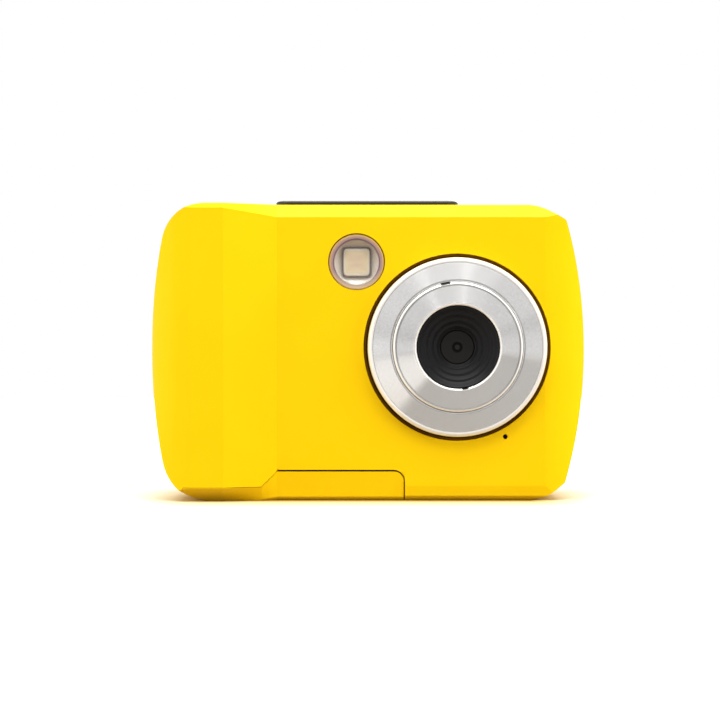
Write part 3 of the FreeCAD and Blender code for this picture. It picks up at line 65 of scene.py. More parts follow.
class Graph:
    """The shader nodes of a world or a material under construction."""

    def __init__(self, owner):
        owner.use_nodes = True
        self.nodes = owner.node_tree.nodes
        self.links = owner.node_tree.links

    def add(self, kind, inputs=None, **settings):
        """A node of that kind. Each of its inputs is a plain value or another node's output."""
        node = self.nodes.new("ShaderNode" + kind)
        for name, value in settings.items():
            setattr(node, name, value)
        for slot, value in (inputs or {}).items():
            if isinstance(value, bpy.types.NodeSocket):
                self.links.new(value, node.inputs[slot])
            else:
                node.inputs[slot].default_value = value
        return node

    def math(self, operation, *values):
        return self.add("Math", dict(enumerate(values)), operation=operation).outputs[0]

    def vector(self, operation, *values):
        return self.add("VectorMath", dict(enumerate(values)), operation=operation).outputs[0]

    def split(self, vector):
        parts = self.add("SeparateXYZ", {0: vector}).outputs
        return parts["X"], parts["Y"], parts["Z"]

    def spread(self, value, low, high, to_low=0.0, to_high=1.0):
        """Carries the range from low to high over to another range, and holds at its ends."""
        return self.add("MapRange", {"Value": value, "From Min": low, "From Max": high,
                                     "To Min": to_low, "To Max": to_high}).outputs[0]

    def ramp(self, factor, stops, reach=1.0):
        """A colour for each place of a factor from 0 to reach. It is a grey level or three numbers."""
        share = factor if reach == 1.0 else self.math("DIVIDE", factor, reach)
        node = self.add("ValToRGB", {0: share})
        elements = node.color_ramp.elements
        for number, (place, colour) in enumerate(stops):
            if not isinstance(colour, tuple):
                colour = (colour,) * 3
            if number < 2:
                elements[number].position = place / reach
                elements[number].color = (*colour, 1.0)
            else:
                elements.new(place / reach).color = (*colour, 1.0)
        return node.outputs["Color"]

    def blend(self, factor, first, second):
        """The first colour where the factor is 0, the second where it is 1."""
        first, second = [(*colour, 1.0) if isinstance(colour, tuple) else colour
                         for colour in (first, second)]
        node = self.add("Mix", {"Factor": factor, "A": first, "B": second}, data_type="RGBA")
        return node.outputs["Result"]

    def either(self, *masks):
        """1 where any of the masks is 1."""
        total = masks[0]
        for mask in masks[1:]:
            total = self.math("MAXIMUM", total, mask)
        return total

    def pick(self, factor, first, second):
        """The first shader where the factor is 0, the second where it is 1."""
        return self.add("MixShader", {0: factor, 1: first, 2: second}).outputs[0]


white = (1.0, 1.0, 1.0)
fill_level = 0.38
room_sectors = [
    (0.0, 0.67), (0.15, 0.67), (0.17, 0.42), (0.46, 0.42), (0.478, 0.57), (0.52, 0.55), (0.545, 0.46),
    (0.57, 0.54), (0.66, 0.56), (0.695, 0.57), (0.71, 0.80), (0.725, 0.57), (0.785, 0.57), (0.80, 0.76),
    (0.82, 0.58), (0.90, 0.61), (0.965, 0.54), (0.985, 0.66), (1.0, 0.67),
]
dark_front_y = -0.99
bright_sides_y = -0.955
dark_front_gain = 0.4
bright_sides_gain = 1.55
room = bpy.data.worlds.new("studio")
scene.world = room
studio = Graph(room)
studio.nodes.clear()
room_rays = studio.add("LightPath").outputs
seen_rays = studio.either(room_rays["Is Camera Ray"], room_rays["Is Transmission Ray"])
shown_rays = studio.either(seen_rays, room_rays["Is Glossy Ray"])
room_x, room_y, room_z = studio.split(studio.add("TexCoord").outputs["Generated"])
room_turn = studio.spread(studio.math("ARCTAN2", room_z, room_x), -math.pi, math.pi)
room_gain = studio.spread(room_y, dark_front_y, bright_sides_y, dark_front_gain, bright_sides_gain)
room_shade = studio.math("MULTIPLY", studio.ramp(room_turn, room_sectors), room_gain)
room_seen = studio.add("Background", {"Color": studio.blend(seen_rays, room_shade, white)}).outputs[0]
room_fill = studio.add("Background", {"Color": (*white, 1.0), "Strength": fill_level}).outputs[0]
studio.add("OutputWorld", {"Surface": studio.pick(shown_rays, room_fill, room_seen)})


def soft_lamp(name, level, place, wide, tall):
    """A soft panel that lights a white card in the product's middle, turned to face it, to this level."""
    aim = Vector((0.0, 0.0, 0.032))
    reach = (Vector(place) - aim).length
    data = bpy.data.lights.new(name, "AREA")
    data.shape = "RECTANGLE"
    data.size = wide
    data.size_y = tall
    data.energy = level * math.pi ** 2 * reach ** 2
    lamp = bpy.data.objects.new(name, data)
    lamp.location = place
    lamp.rotation_euler = (aim - Vector(place)).to_track_quat("-Z", "Y").to_euler()
    scene.collection.objects.link(lamp)
    return lamp


soft_lamp("top_panel_lamp", 1.32, (0.0, -0.36, 0.95), 1.2, 0.6)
for side, side_level in ((-1, 0.58), (1, 0.83)):
    side_lamp = soft_lamp("side_panel_lamp", side_level, (0.85 * side, -0.20, 0.14), 0.6, 0.4)
    side_lamp.visible_glossy = False
soft_lamp("rear_panel_lamp", 0.6, (0.1, 0.75, 0.45), 0.9, 0.5)

# Floor: a white sweep that the camera stands on. The picture sees it white, with a painted warm shadow
# close to the case for the case's shade and its own warm light. The metal sees it in grey bands, and the
# case gets a warm light from it.
floor_radius = 0.9
floor_corners = 96
band_reach = 0.5
mirrored_bands = [
    (0.0, 0.65), (0.489, (0.66, 0.64, 0.614)), (0.494, (0.36, 0.349, 0.335)),
    (0.762, (0.36, 0.349, 0.335)), (0.774, (0.52, 0.504, 0.484)), (1.0, 0.52),
]
warm_light = (0.42, 0.32, 0.19, 1.0)
half_footprint = (0.035, 0.0085, 0.0)
# Painted shadow: the floor is painted warm and dark close to the case, over this reach and in these colours.
painted_shadow_reach = 0.03
painted_shadow_stops = [
    (0.0, (0.36, 0.21, 0.04)), (0.10, (0.74, 0.58, 0.26)), (0.24, (0.78, 0.68, 0.44)),
    (0.5, (0.82, 0.77, 0.64)), (1.0, (0.84, 0.84, 0.84)),
]
glow_start = 0.003
glow_full = 0.09
floor_mesh = bmesh.new()
bmesh.ops.create_circle(floor_mesh, cap_ends=True, segments=floor_corners, radius=floor_radius)
floor_data = bpy.data.meshes.new("floor")
floor_mesh.to_mesh(floor_data)
floor_mesh.free()
floor = bpy.data.objects.new("floor", floor_data)
scene.collection.objects.link(floor)
floor_paint = bpy.data.materials.new("floor_white")
sweep = Graph(floor_paint)
sweep.nodes.clear()
floor_place = sweep.add("TexCoord").outputs["Object"]
band_place = sweep.spread(sweep.split(floor_place)[0], -band_reach, band_reach)
mirrored_floor = sweep.add("BsdfDiffuse", {"Color": sweep.ramp(band_place, mirrored_bands)}).outputs[0]
lighting_floor = sweep.add("BsdfDiffuse", {"Color": warm_light}).outputs[0]
past_footprint = sweep.vector("SUBTRACT", sweep.vector("ABSOLUTE", floor_place), half_footprint)
outside = sweep.vector("MAXIMUM", past_footprint, (0.0, 0.0, 0.0))
floor_gap = sweep.add("VectorMath", {0: outside}, operation="LENGTH").outputs["Value"]
# Painted shadow: the floor's colour is painted warm and dark close to the case, for its shade and warm
# light.
floor_painted_shadow = sweep.ramp(sweep.spread(floor_gap, 0.0, painted_shadow_reach), painted_shadow_stops)
floor_white = sweep.add("BsdfDiffuse", {"Color": floor_painted_shadow}).outputs[0]
floor_glow = sweep.add("Emission", {"Strength": sweep.spread(floor_gap, glow_start, glow_full)}).outputs[0]
seen_floor = sweep.add("AddShader", {0: floor_white, 1: floor_glow}).outputs[0]
floor_rays = sweep.add("LightPath").outputs
unseen_floor = sweep.pick(floor_rays["Is Glossy Ray"], lighting_floor, mirrored_floor)
sweep.add("OutputMaterial", {"Surface": sweep.pick(floor_rays["Is Camera Ray"], unseen_floor, seen_floor)})
floor_data.materials.append(floor_paint)

# Case shells and battery door: yellow ABS, injection moulded with a fine satin skin and no paint, so
# that all three have one colour. The skin has a faint grain and is rubbed smoother in places.


class Finish(Graph):
    """A finish of the camera's pieces. It reads places on the piece, so it stays put as the piece moves."""

    def __init__(self, name, colour, roughness, specular=0.5):
        self.material = bpy.data.materials.new(name)
        super().__init__(self.material)
        self.surface = self.nodes["Principled BSDF"]
        self.set("Base Color", (*colour, 1.0))
        self.set("Roughness", roughness)
        self.set("Specular IOR Level", specular)
        self.point = self.add("TexCoord").outputs["Object"]

    def set(self, name, value):
        self.surface.inputs[name].default_value = value

    def join(self, output, name):
        self.links.new(output, self.surface.inputs[name])

    def noise(self, scale, detail=2.0, stretch=(1, 1, 1)):
        """Noise of that many lumps to a metre, drawn out along an axis by a smaller stretch."""
        place = self.add("Mapping", {"Vector": self.point, "Scale": stretch}).outputs[0]
        return self.add("TexNoise", {"Vector": place, "Scale": scale, "Detail": detail}).outputs["Fac"]

    def mottle(self, name, scale, low, high, detail=3.0, stretch=(1, 1, 1)):
        """Lets an input of the surface wander between two values in soft lumps."""
        self.join(self.ramp(self.noise(scale, detail, stretch), [(0.3, low), (0.7, high)]), name)

    def bump(self, height, depth, strength):
        """Fine relief of that depth, from a height between 0 and 1."""
        node = self.add("Bump", {"Strength": strength, "Distance": depth, "Height": height})
        self.join(node.outputs[0], "Normal")

    def axes(self, centre):
        """The three coordinates of a place on the piece, in millimetres from a centre."""
        away = self.vector("SUBTRACT", self.point, centre)
        return self.split(self.vector("DIVIDE", away, (MM, MM, MM)))

    def distance(self, centre):
        """How far a place lies from an axis along Y through the centre, in millimetres."""
        across, _, up = self.axes(centre)
        total = self.math("ADD", self.math("MULTIPLY", across, across), self.math("MULTIPLY", up, up))
        return self.math("SQRT", total)

    def within(self, value, low, high):
        """1 where the value lies between the two limits, 0 elsewhere."""
        return self.math("MULTIPLY", self.math("GREATER_THAN", value, low),
                         self.math("LESS_THAN", value, high))


yellow = Finish("yellow_abs", (0.97, 0.63, 0.0), 0.36, 0.14)
yellow.mottle("Base Color", 55, (0.965, 0.635, 0.0), (0.985, 0.66, 0.001))
yellow.join(yellow.ramp(yellow.noise(160, 4.0), [(0.3, 0.34), (0.75, 0.43)]), "Roughness")
yellow.bump(yellow.noise(5200), 0.012 * MM, 0.35)


def paint(finish, *names):
    """Gives CAD nodes a finish of their own."""
    for name in names:
        for slot in nodes[name].material_slots:
            slot.material = finish.material


paint(yellow, "front_shell", "back_shell", "bottom_door")

# Lens seat: a black moulded ring behind the front wall. Only a thin line of it shows, around the silver
# rings that are pressed onto it, and there it is painted brown, a painted reflection of the yellow wall's
# light.
lens_centre = Vector((19.3, 0.0, 33.4)) * MM
seat_black = Finish("seat_black", (0.018, 0.013, 0.008), 0.6, 0.08)
# Painted reflection: the seat's outer edge is painted brown for the light of the yellow wall.
seat_black.join(seat_black.ramp(seat_black.distance(lens_centre), [
    (19.48, (0.014, 0.009, 0.005)), (19.8, (0.045, 0.016, 0.0)), (20.0, (0.15, 0.06, 0.0)),
], reach=20.0), "Base Color")
seat_black.bump(seat_black.noise(6000, 1.0), 0.01 * MM, 0.4)
paint(seat_black, "lens_seat")

# Silver rings: turned aluminium, the outer one a shallow cone with a cut rim, the inner one a step
# higher. The tool's fine circular lines spread every reflection out into sectors. The rim, the step and
# the mouth carry painted highlights, white bands painted into the colour where the metal is made less
# metallic. A spanner notch is cut in the step and in the mouth, and painted dark inside, a painted shade.


def finished(name, mesh, finish):
    """Turns a bmesh into a piece that rides with the case. Edges sharper than the crease stay sharp."""
    crease = math.radians(35)
    data = bpy.data.meshes.new(name)
    mesh.to_mesh(data)
    mesh.free()
    data.materials.append(finish.material)
    data.shade_smooth()
    data.set_sharp_from_angle(angle=crease)
    piece = bpy.data.objects.new(name, data)
    scene.collection.objects.link(piece)
    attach(piece, "root")
    return piece


def turned(name, centre, profile, finish, closed=True, soften=0.0):
    """A piece turned on an axis along Y. The profile is (radius, distance in front) in millimetres."""
    turn_steps = 160
    weld_gap = 0.0005
    corner_angle = math.radians(20)
    mesh = bmesh.new()
    points = [mesh.verts.new((radius * MM, -front * MM, 0)) for radius, front in profile]
    pairs = list(zip(points, points[1:]))
    if closed:
        pairs.append((points[-1], points[0]))
    lines = [mesh.edges.new(pair) for pair in pairs]
    bmesh.ops.spin(mesh, geom=points + lines, cent=(0, 0, 0), axis=(0, 1, 0), angle=math.tau,
                   steps=turn_steps, use_merge=True)
    bmesh.ops.remove_doubles(mesh, verts=mesh.verts, dist=weld_gap * MM)
    if soften:
        corners = [edge for edge in mesh.edges
                   if edge.is_manifold and edge.calc_face_angle(0) > corner_angle]
        bmesh.ops.bevel(mesh, geom=corners, offset=soften * MM, affect="EDGES", segments=3, profile=0.5,
                        material=-1, clamp_overlap=True)
    bmesh.ops.recalc_face_normals(mesh, faces=mesh.faces)
    bmesh.ops.translate(mesh, verts=mesh.verts, vec=centre)
    return finished(name, mesh, finish)


# Each notch: its two turns in radians, the two radii that it cuts, and the two between which it is
# painted dark, a painted shade.
spanner_notches = [(1.69, 1.84, 13.75, 14.1, 13.65, 14.15), (-1.48, -1.33, 8.9, 9.2, 8.9, 9.3)]
notch_floor = 11.3
notch_depth = 0.6
notch_painted_shade = (0.05, 0.045, 0.04)
# Painted highlights: the white, its strength, and the radii of the bands painted at the rim, step and mouth.
painted_highlight_white = (0.96, 0.955, 0.94)
painted_highlight_strength = 0.75
lines_per_mm = 9.0
painted_highlight_bands = [
    (8.94, 0.0), (9.04, 1.0), (9.36, 1.0), (9.48, 0.0), (13.58, 0.0), (13.7, 1.0), (14.06, 1.0),
    (14.11, 0.0), (18.38, 0.0), (18.56, 1.0), (19.32, 1.0), (19.5, 0.4),
]
silver = Finish("turned_aluminium", (0.80, 0.79, 0.78), 0.16)
silver.set("Anisotropic", 1.0)
silver.set("Anisotropic Rotation", 0.25)
silver.join(silver.add("Tangent", direction_type="RADIAL", axis="Y").outputs[0], "Tangent")
ring_radius = silver.distance(lens_centre)
tool_lines = silver.add("TexNoise", {"W": ring_radius, "Scale": lines_per_mm, "Detail": 4.0},
                        noise_dimensions="1D").outputs["Fac"]
painted_highlight = silver.ramp(ring_radius, painted_highlight_bands, reach=20.0)
ring_across, _, ring_up = silver.axes(lens_centre)
ring_turn = silver.math("ARCTAN2", ring_up, ring_across)
# Painted shade: the notches are painted dark inside.
painted_notch_mask = silver.either(*[
    silver.math("MULTIPLY", silver.within(ring_turn, from_turn, to_turn),
                silver.within(ring_radius, dark_from, dark_to))
    for from_turn, to_turn, _, _, dark_from, dark_to in spanner_notches
])
metal = silver.ramp(silver.noise(2400, 6.0), [(0.3, (0.765, 0.75, 0.735)), (0.7, (0.835, 0.825, 0.81))])
silver.join(silver.blend(painted_notch_mask, silver.blend(painted_highlight, metal, painted_highlight_white), notch_painted_shade), "Base Color")
# Where the highlight is painted, the metal is made less metallic so that it shows white.
painted_highlight_share = silver.math("MULTIPLY", painted_highlight, painted_highlight_strength)
silver.join(silver.math("SUBTRACT", 1.0, painted_highlight_share), "Metallic")
silver.join(silver.ramp(tool_lines, [(0.3, 0.15), (0.7, 0.18)]), "Roughness")
silver.bump(tool_lines, 0.004 * MM, 0.15)

seat_face = 7.7
outer_ring = turned("silver_ring_outer", lens_centre, [
    (14.17, seat_face), (19.3, seat_face), (19.5, 8.0), (19.5, 9.75), (19.2, 10.3), (18.8, 10.52),
    (18.4, 10.45), (18.25, 10.482), (14.75, 11.218), (14.6, 11.25), (14.17, 11.2),
], silver, soften=0.1)
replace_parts(outer_ring, "lens_ring_outer")
inner_ring = turned("silver_ring_inner", lens_centre, [
    (8.98, seat_face), (14.05, seat_face), (14.05, 11.5), (13.9, 11.85), (13.6, 12.02), (13.3, 11.98),
    (13.15, 12.006), (9.9, 12.574), (9.75, 12.6), (9.35, 12.7), (9.05, 12.55), (8.98, 12.3),
], silver, soften=0.08)
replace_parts(inner_ring, "lens_ring_inner")
for vertex in inner_ring.data.vertices:
    out = vertex.co - lens_centre
    radius = math.hypot(out.x, out.z) / MM
    turn = math.atan2(out.z, out.x)
    for from_turn, to_turn, cut_from, cut_to, _, _ in spanner_notches:
        if from_turn < turn < to_turn and cut_from < radius < cut_to and out.y < -notch_floor * MM:
            vertex.co.y += notch_depth * MM

# Lens hood: a black moulded baffle that goes down in rounded treads to the window and keeps stray light
# out. It is held between the silver ring and the seat.
hood_black = Finish("hood_black", (0.0095, 0.0095, 0.0105), 0.45, 0.2)
hood_black.mottle("Roughness", 700, 0.38, 0.5, detail=2.0)
hood_black.bump(hood_black.noise(7000, 1.0), 0.006 * MM, 0.4)
hood = turned("lens_baffle", lens_centre, [
    (3.8, seat_face), (8.85, seat_face), (8.85, 12.1), (8.65, 12.2), (8.27, 11.75), (7.62, 11.05),
    (7.07, 11.1), (6.42, 10.3), (5.72, 10.35), (5.11, 9.55), (4.57, 9.6), (4.03, 8.85), (3.8, 8.8),
], hood_black, soften=0.14)
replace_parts(hood, "lens_hood")

# Lens window, front element and sensor: a flat coated pane, and the small crowned glass behind it. The
# dark rings on the pane are the edges of the lens cell seen through it.
glass = Finish("coated_glass", (0.02, 0.02, 0.026), 0.05, 0.5)
glass.join(glass.ramp(glass.distance(lens_centre), [
    (0.0, (0.012, 0.012, 0.014)), (0.7, (0.03, 0.03, 0.034)), (0.95, (0.055, 0.055, 0.06)),
    (1.0, (0.006, 0.006, 0.007)),
]), "Base Color")
glass.set("Coat Weight", 0.6)
glass.set("Coat Roughness", 0.04)
paint(glass, "lens_element")
cell_dark = (0.004, 0.004, 0.004)
pane = Finish("lens_pane", (0.024, 0.024, 0.026), 0.12, 0.15)
pane.join(pane.ramp(pane.distance(lens_centre), [
    (0.0, (0.02, 0.02, 0.021)), (0.4, (0.03, 0.03, 0.031)), (0.64, cell_dark), (1.04, cell_dark),
    (1.32, (0.022, 0.022, 0.023)), (1.6, (0.021, 0.021, 0.022)), (3.4, (0.022, 0.022, 0.023)),
    (3.68, cell_dark),
], reach=4.0), "Base Color")
paint(pane, "lens_window", "image_sensor")

# Flash window: a clear moulded pane, let into the front wall. Its stepped rim is painted with dark and warm
# tints, painted shade and painted reflections for the light that runs round inside it, and it is painted
# paler towards its lower side, a painted highlight.
flash_centre = Vector((-2.6, 0.0, 52.0)) * MM
rim_drop = Vector((0.0, 0.0, 0.12)) * MM
flash_clear = Finish("flash_clear", (0.80, 0.76, 0.78), 0.08, 0.4)
rim_radius = flash_clear.distance(flash_centre - rim_drop)
# Painted shade and painted reflections: the rim's dark lines and warm bands.
rim_painted_tints = flash_clear.ramp(rim_radius, [
    (0.0, (0.80, 0.78, 0.76)), (4.8, (0.80, 0.74, 0.70)), (4.94, (0.16, 0.09, 0.12)),
    (5.08, (0.20, 0.12, 0.15)), (5.22, (0.46, 0.30, 0.32)), (5.5, (0.50, 0.33, 0.32)),
    (5.7, (0.60, 0.40, 0.22)), (5.92, (0.62, 0.42, 0.16)), (6.0, (0.24, 0.15, 0.02)),
], reach=10.0)
# Painted highlight: the rim is painted paler towards its lower side.
rim_painted_highlight = flash_clear.spread(flash_clear.axes(flash_centre)[2], -1.76, -5.88, 0.0, 0.5)
flash_clear.join(flash_clear.blend(rim_painted_highlight, rim_painted_tints, (0.84, 0.76, 0.52)), "Base Color")
flash_clear.join(flash_clear.ramp(rim_radius, [
    (0.0, 0.06), (4.8, 0.08), (4.94, 0.85), (5.08, 0.8), (5.3, 0.72), (5.7, 0.82), (6.0, 0.97),
], reach=10.0), "Alpha")
flash_clear.material.surface_render_method = "DITHERED"
flash_window = turned("flash_pane", flash_centre, [
    (0.0, 7.35), (5.9, 7.35), (6.05, 7.5), (6.05, 8.3), (5.8, 8.58), (5.1, 8.6), (4.95, 8.5), (0.0, 8.5),
], flash_clear, closed=False)
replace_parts(flash_window, "flash_window")

# Flash cup and funnel: a bright moulded reflector that narrows from the round window to the square
# lamp. Its colour is painted paler towards its lower half, a painted highlight.
cup_silver = Finish("flash_reflector", (0.70, 0.66, 0.64), 0.4, 0.5)
cup_silver.set("Metallic", 0.15)
cup_silver.mottle("Roughness", 420, 0.32, 0.45)
# Painted highlight: paler towards the bottom of the cup.
cup_silver.join(cup_silver.ramp(cup_silver.spread(cup_silver.axes(flash_centre)[2], 5.0, -5.0), [
    (0.1, (0.66, 0.58, 0.50)), (0.6, (0.74, 0.68, 0.60)), (0.92, (0.86, 0.82, 0.76)),
]), "Base Color")
paint(cup_silver, "flash_housing")


def bulged_square(mesh, half_wide, half_tall, front, power=8):
    """A loop of points on a square with rounded corners and bulged sides. Power 2 makes a circle."""
    count = 96
    points = []
    for turn in [math.tau * number / count for number in range(count)]:
        reach = (abs(math.cos(turn) / half_wide) ** power
                 + abs(math.sin(turn) / half_tall) ** power) ** (-1 / power)
        place = Vector((reach * math.cos(turn), -front, reach * math.sin(turn)))
        points.append(mesh.verts.new(place * MM))
    return points


def stacked(name, centre, loops, finish, closed):
    """A skin through loops given as for bulged_square, closed on itself or capped at both ends."""
    mesh = bmesh.new()
    rings = [bulged_square(mesh, *loop) for loop in loops]
    pairs = list(zip(rings, rings[1:]))
    if closed:
        pairs.append((rings[-1], rings[0]))
    for first, second in pairs:
        for number in range(len(first)):
            mesh.faces.new((first[number - 1], first[number], second[number], second[number - 1]))
    if not closed:
        mesh.faces.new(rings[0])
        mesh.faces.new(rings[-1])
    bmesh.ops.recalc_face_normals(mesh, faces=mesh.faces)
    bmesh.ops.translate(mesh, verts=mesh.verts, vec=centre)
    return finished(name, mesh, finish)


stacked("flash_funnel", flash_centre, [
    (3.26, 3.4, 6.3), (4.1, 4.15, 6.55, 4), (4.92, 4.92, 7.15, 2), (4.92, 4.92, 7.0, 2),
    (4.1, 4.15, 6.4, 4), (3.26, 3.4, 6.15),
], cup_silver, closed=True)

# Flash lamp: a milky moulded block with a softly crowned square face and paler edges. A dark band stands
# round it in the funnel's opening, painted shade for the gap between the lamp and the funnel.
lamp_cream = Finish("lamp_cream", (0.76, 0.65, 0.43), 0.3, 0.4)
lamp_across, _, lamp_up = lamp_cream.axes(flash_centre)
lamp_edge = lamp_cream.either(lamp_cream.math("ABSOLUTE", lamp_across), lamp_cream.math("ABSOLUTE", lamp_up))
lamp_tint = lamp_cream.ramp(lamp_edge, [
    (0.303, (0.68, 0.53, 0.42)), (1.515, (0.74, 0.62, 0.44)), (2.273, (0.82, 0.73, 0.50)),
    (2.545, (0.90, 0.84, 0.76)), (2.879, (0.94, 0.90, 0.86)),
], reach=3.03)
lamp_streaks = lamp_cream.ramp(lamp_cream.noise(500, 3.0, (0.4, 1, 2.5)), [(0.4, 0.0), (0.8, 0.5)])
lamp_cream.join(lamp_cream.blend(lamp_streaks, lamp_tint, (0.86, 0.78, 0.50)), "Base Color")
lamp_cream.set("Subsurface Weight", 0.2)
lamp_cream.set("Subsurface Radius", (0.002, 0.0015, 0.001))
lamp_cream.set("Subsurface Scale", 1.0)
lamp = stacked("flash_lamp_face", flash_centre, [
    (2.7, 2.8, 4.75), (2.88, 3.0, 4.8), (2.88, 3.0, 6.75), (2.8, 2.92, 6.93), (2.6, 2.72, 7.0),
    (1.6, 1.7, 7.06), (0.5, 0.5, 7.08),
], lamp_cream, closed=False)
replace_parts(lamp, "flash_lamp")
# Painted shade: a dark band put in the gap round the lamp.
gap_shade_dark = Finish("lamp_gap_shade", (0.11, 0.09, 0.08), 0.6, 0.2)
gap_shade_dark.mottle("Base Color", 900, (0.08, 0.065, 0.06), (0.13, 0.11, 0.10))
stacked("lamp_gap_shade", flash_centre, [
    (2.92, 3.04, 4.8), (3.2, 3.34, 4.8), (3.2, 3.34, 6.72), (3.12, 3.26, 6.82), (3.0, 3.12, 6.82),
    (2.92, 3.04, 6.74),
], gap_shade_dark, closed=True)

# Hidden black mouldings: the lens barrel, the cells' holder, the microphone's boot and the buzzer. They
# have a dull skin, and the shells hold them from both sides.
matt_black = Finish("matt_black", (0.018, 0.013, 0.008), 0.6, 0.2)
matt_black.mottle("Roughness", 900, 0.52, 0.68)
matt_black.bump(matt_black.noise(6000, 1.0), 0.01 * MM, 0.4)
paint(matt_black, "lens_barrel", "battery_holder", "microphone", "buzzer")

# Top panel: a strip of polished black plastic, moulded by itself and let into the top of the case. The
# two buttons stand in its openings.
# Painted reflection: the black is tinted olive for the yellow case that it reflects.
gloss_black = Finish("gloss_black", (0.032, 0.030, 0.014), 0.16, 0.5)
gloss_black.mottle("Roughness", 500, 0.12, 0.22)
paint(gloss_black, "top_panel")

# Keys and buttons: satin grey plastic, each but the shutter button with a plain printed sign of what it
# does. The signs are drawn as shapes on each key's own middle, in millimetres, to the right and up as the
# hand sees them.


def bar(key, along, aside, half_long, half_thick, offset=0.0):
    """A straight stroke, moved aside by the offset."""
    return key.math("MULTIPLY", key.within(along, -half_long, half_long),
                    key.within(aside, offset - half_thick, offset + half_thick))


def ring(key, right, up, inner, outer):
    """A round band between two radii."""
    total = key.math("ADD", key.math("MULTIPLY", right, right), key.math("MULTIPLY", up, up))
    return key.within(key.math("SQRT", total), inner, outer)


def arrow(key, along, aside, size, way=1):
    """A filled triangle that points along, or back where way is -1."""
    base = -0.45
    tip = 0.75
    taper = 1.05
    ahead = key.math("MULTIPLY", along, way / size)
    beside = key.math("MULTIPLY", key.math("ABSOLUTE", aside), taper / size)
    return key.math("MULTIPLY", key.math("GREATER_THAN", ahead, base),
                    key.math("LESS_THAN", key.math("ADD", ahead, beside), tip))


def plus(key, right, up):
    return key.either(bar(key, right, up, 0.95, 0.16), bar(key, up, right, 0.95, 0.16))


def ring_and_dot(key, right, up):
    return key.either(ring(key, right, up, 0.85, 1.1), ring(key, right, up, 0.0, 0.3))


def three_bars(key, right, up):
    return key.either(*[bar(key, right, up, 0.95, 0.13, row) for row in (-0.62, 0.0, 0.62)])


def waste_bin(key, right, up):
    return key.either(bar(key, right, up, 0.85, 0.12, 0.72), bar(key, right, up, 0.6, 0.55, -0.2))


def open_ring_and_bar(key, right, up):
    opened = key.math("SUBTRACT", ring(key, right, up, 0.85, 1.1), bar(key, right, up, 0.3, 0.6, 1.0))
    return key.either(opened, bar(key, right, up, 0.12, 0.5, 0.75))


key_signs = {
    "zoom_wide_key": lambda key, right, up: bar(key, right, up, 0.95, 0.16),
    "zoom_tele_key": plus,
    "mode_key": ring_and_dot,
    "playback_key": lambda key, right, up: arrow(key, right, up, 1.1),
    "menu_key": three_bars,
    "delete_key": waste_bin,
    "ok_key": lambda key, right, up: ring(key, right, up, 0.95, 1.25),
    "up_key": lambda key, right, up: arrow(key, up, right, 0.9),
    "right_key": lambda key, right, up: arrow(key, right, up, 0.9),
    "down_key": lambda key, right, up: arrow(key, up, right, 0.9, -1),
    "left_key": lambda key, right, up: arrow(key, right, up, 0.9, -1),
    "shutter_button": None,
    "power_button": open_ring_and_bar,
}
sign_ink = (0.03, 0.03, 0.032)
for key_name, key_sign in key_signs.items():
    corners = [Vector(corner) for corner in nodes[key_name].bound_box]
    key_middle = sum(corners, Vector()) / len(corners)
    satin = Finish(key_name + "_grey", (0.36, 0.37, 0.38), 0.35, 0.5)
    key_x, key_y, key_z = satin.axes(key_middle)
    if key_name.endswith("_button"):
        key_right, key_up = key_x, key_y
    else:
        key_right, key_up = satin.math("MULTIPLY", key_x, -1.0), key_z
    moulded = satin.ramp(satin.noise(800, 3.0), [(0.3, (0.34, 0.35, 0.36)), (0.7, (0.38, 0.39, 0.40))])
    if key_sign:
        moulded = satin.blend(key_sign(satin, key_right, key_up), moulded, sign_ink)
    satin.join(moulded, "Base Color")
    satin.mottle("Roughness", 700, 0.3, 0.42)
    satin.bump(satin.noise(6000, 1.0), 0.006 * MM, 0.3)
    paint(satin, key_name)

# Display window: glossy black acrylic over the display, whose picture area shows as a duller grey with
# a fine black line round it.
display_centre = Vector((11.2, 0.0, 35.6)) * MM
picture_half = (24.4, 18.3)
frame_line = 0.3
screen = Finish("display_acrylic", (0.006, 0.006, 0.007), 0.06, 0.5)
screen_x, _, screen_z = screen.axes(display_centre)
picture, framed = [
    screen.math("MULTIPLY", screen.within(screen_x, -half_wide, half_wide),
                screen.within(screen_z, -half_tall, half_tall))
    for half_wide, half_tall in (picture_half, [half + frame_line for half in picture_half])
]
acrylic = screen.blend(framed, (0.004, 0.004, 0.0045), (0.001, 0.001, 0.001))
screen.join(screen.blend(picture, acrylic, (0.030, 0.033, 0.037)), "Base Color")
screen.mottle("Roughness", 300, 0.04, 0.09, detail=2.0)
paint(screen, "display_window")

# Status light: a short clear moulded light pipe, pushed into its hole in the rear shell. Its core is
# painted green, painted light from the lamp on the board behind it.
light_centre = Vector((-31.5, 0.0, 44.5)) * MM
light_pipe = Finish("light_pipe", (0.8, 0.82, 0.8), 0.15, 0.5)
# Painted light: the core is painted green for the lamp behind it.
light_pipe.join(light_pipe.ramp(light_pipe.distance(light_centre), [
    (0.2, (0.20, 0.62, 0.24)), (0.7, (0.55, 0.72, 0.56)),
]), "Base Color")
light_pipe.mottle("Roughness", 900, 0.1, 0.2, detail=2.0)
paint(light_pipe, "status_light")

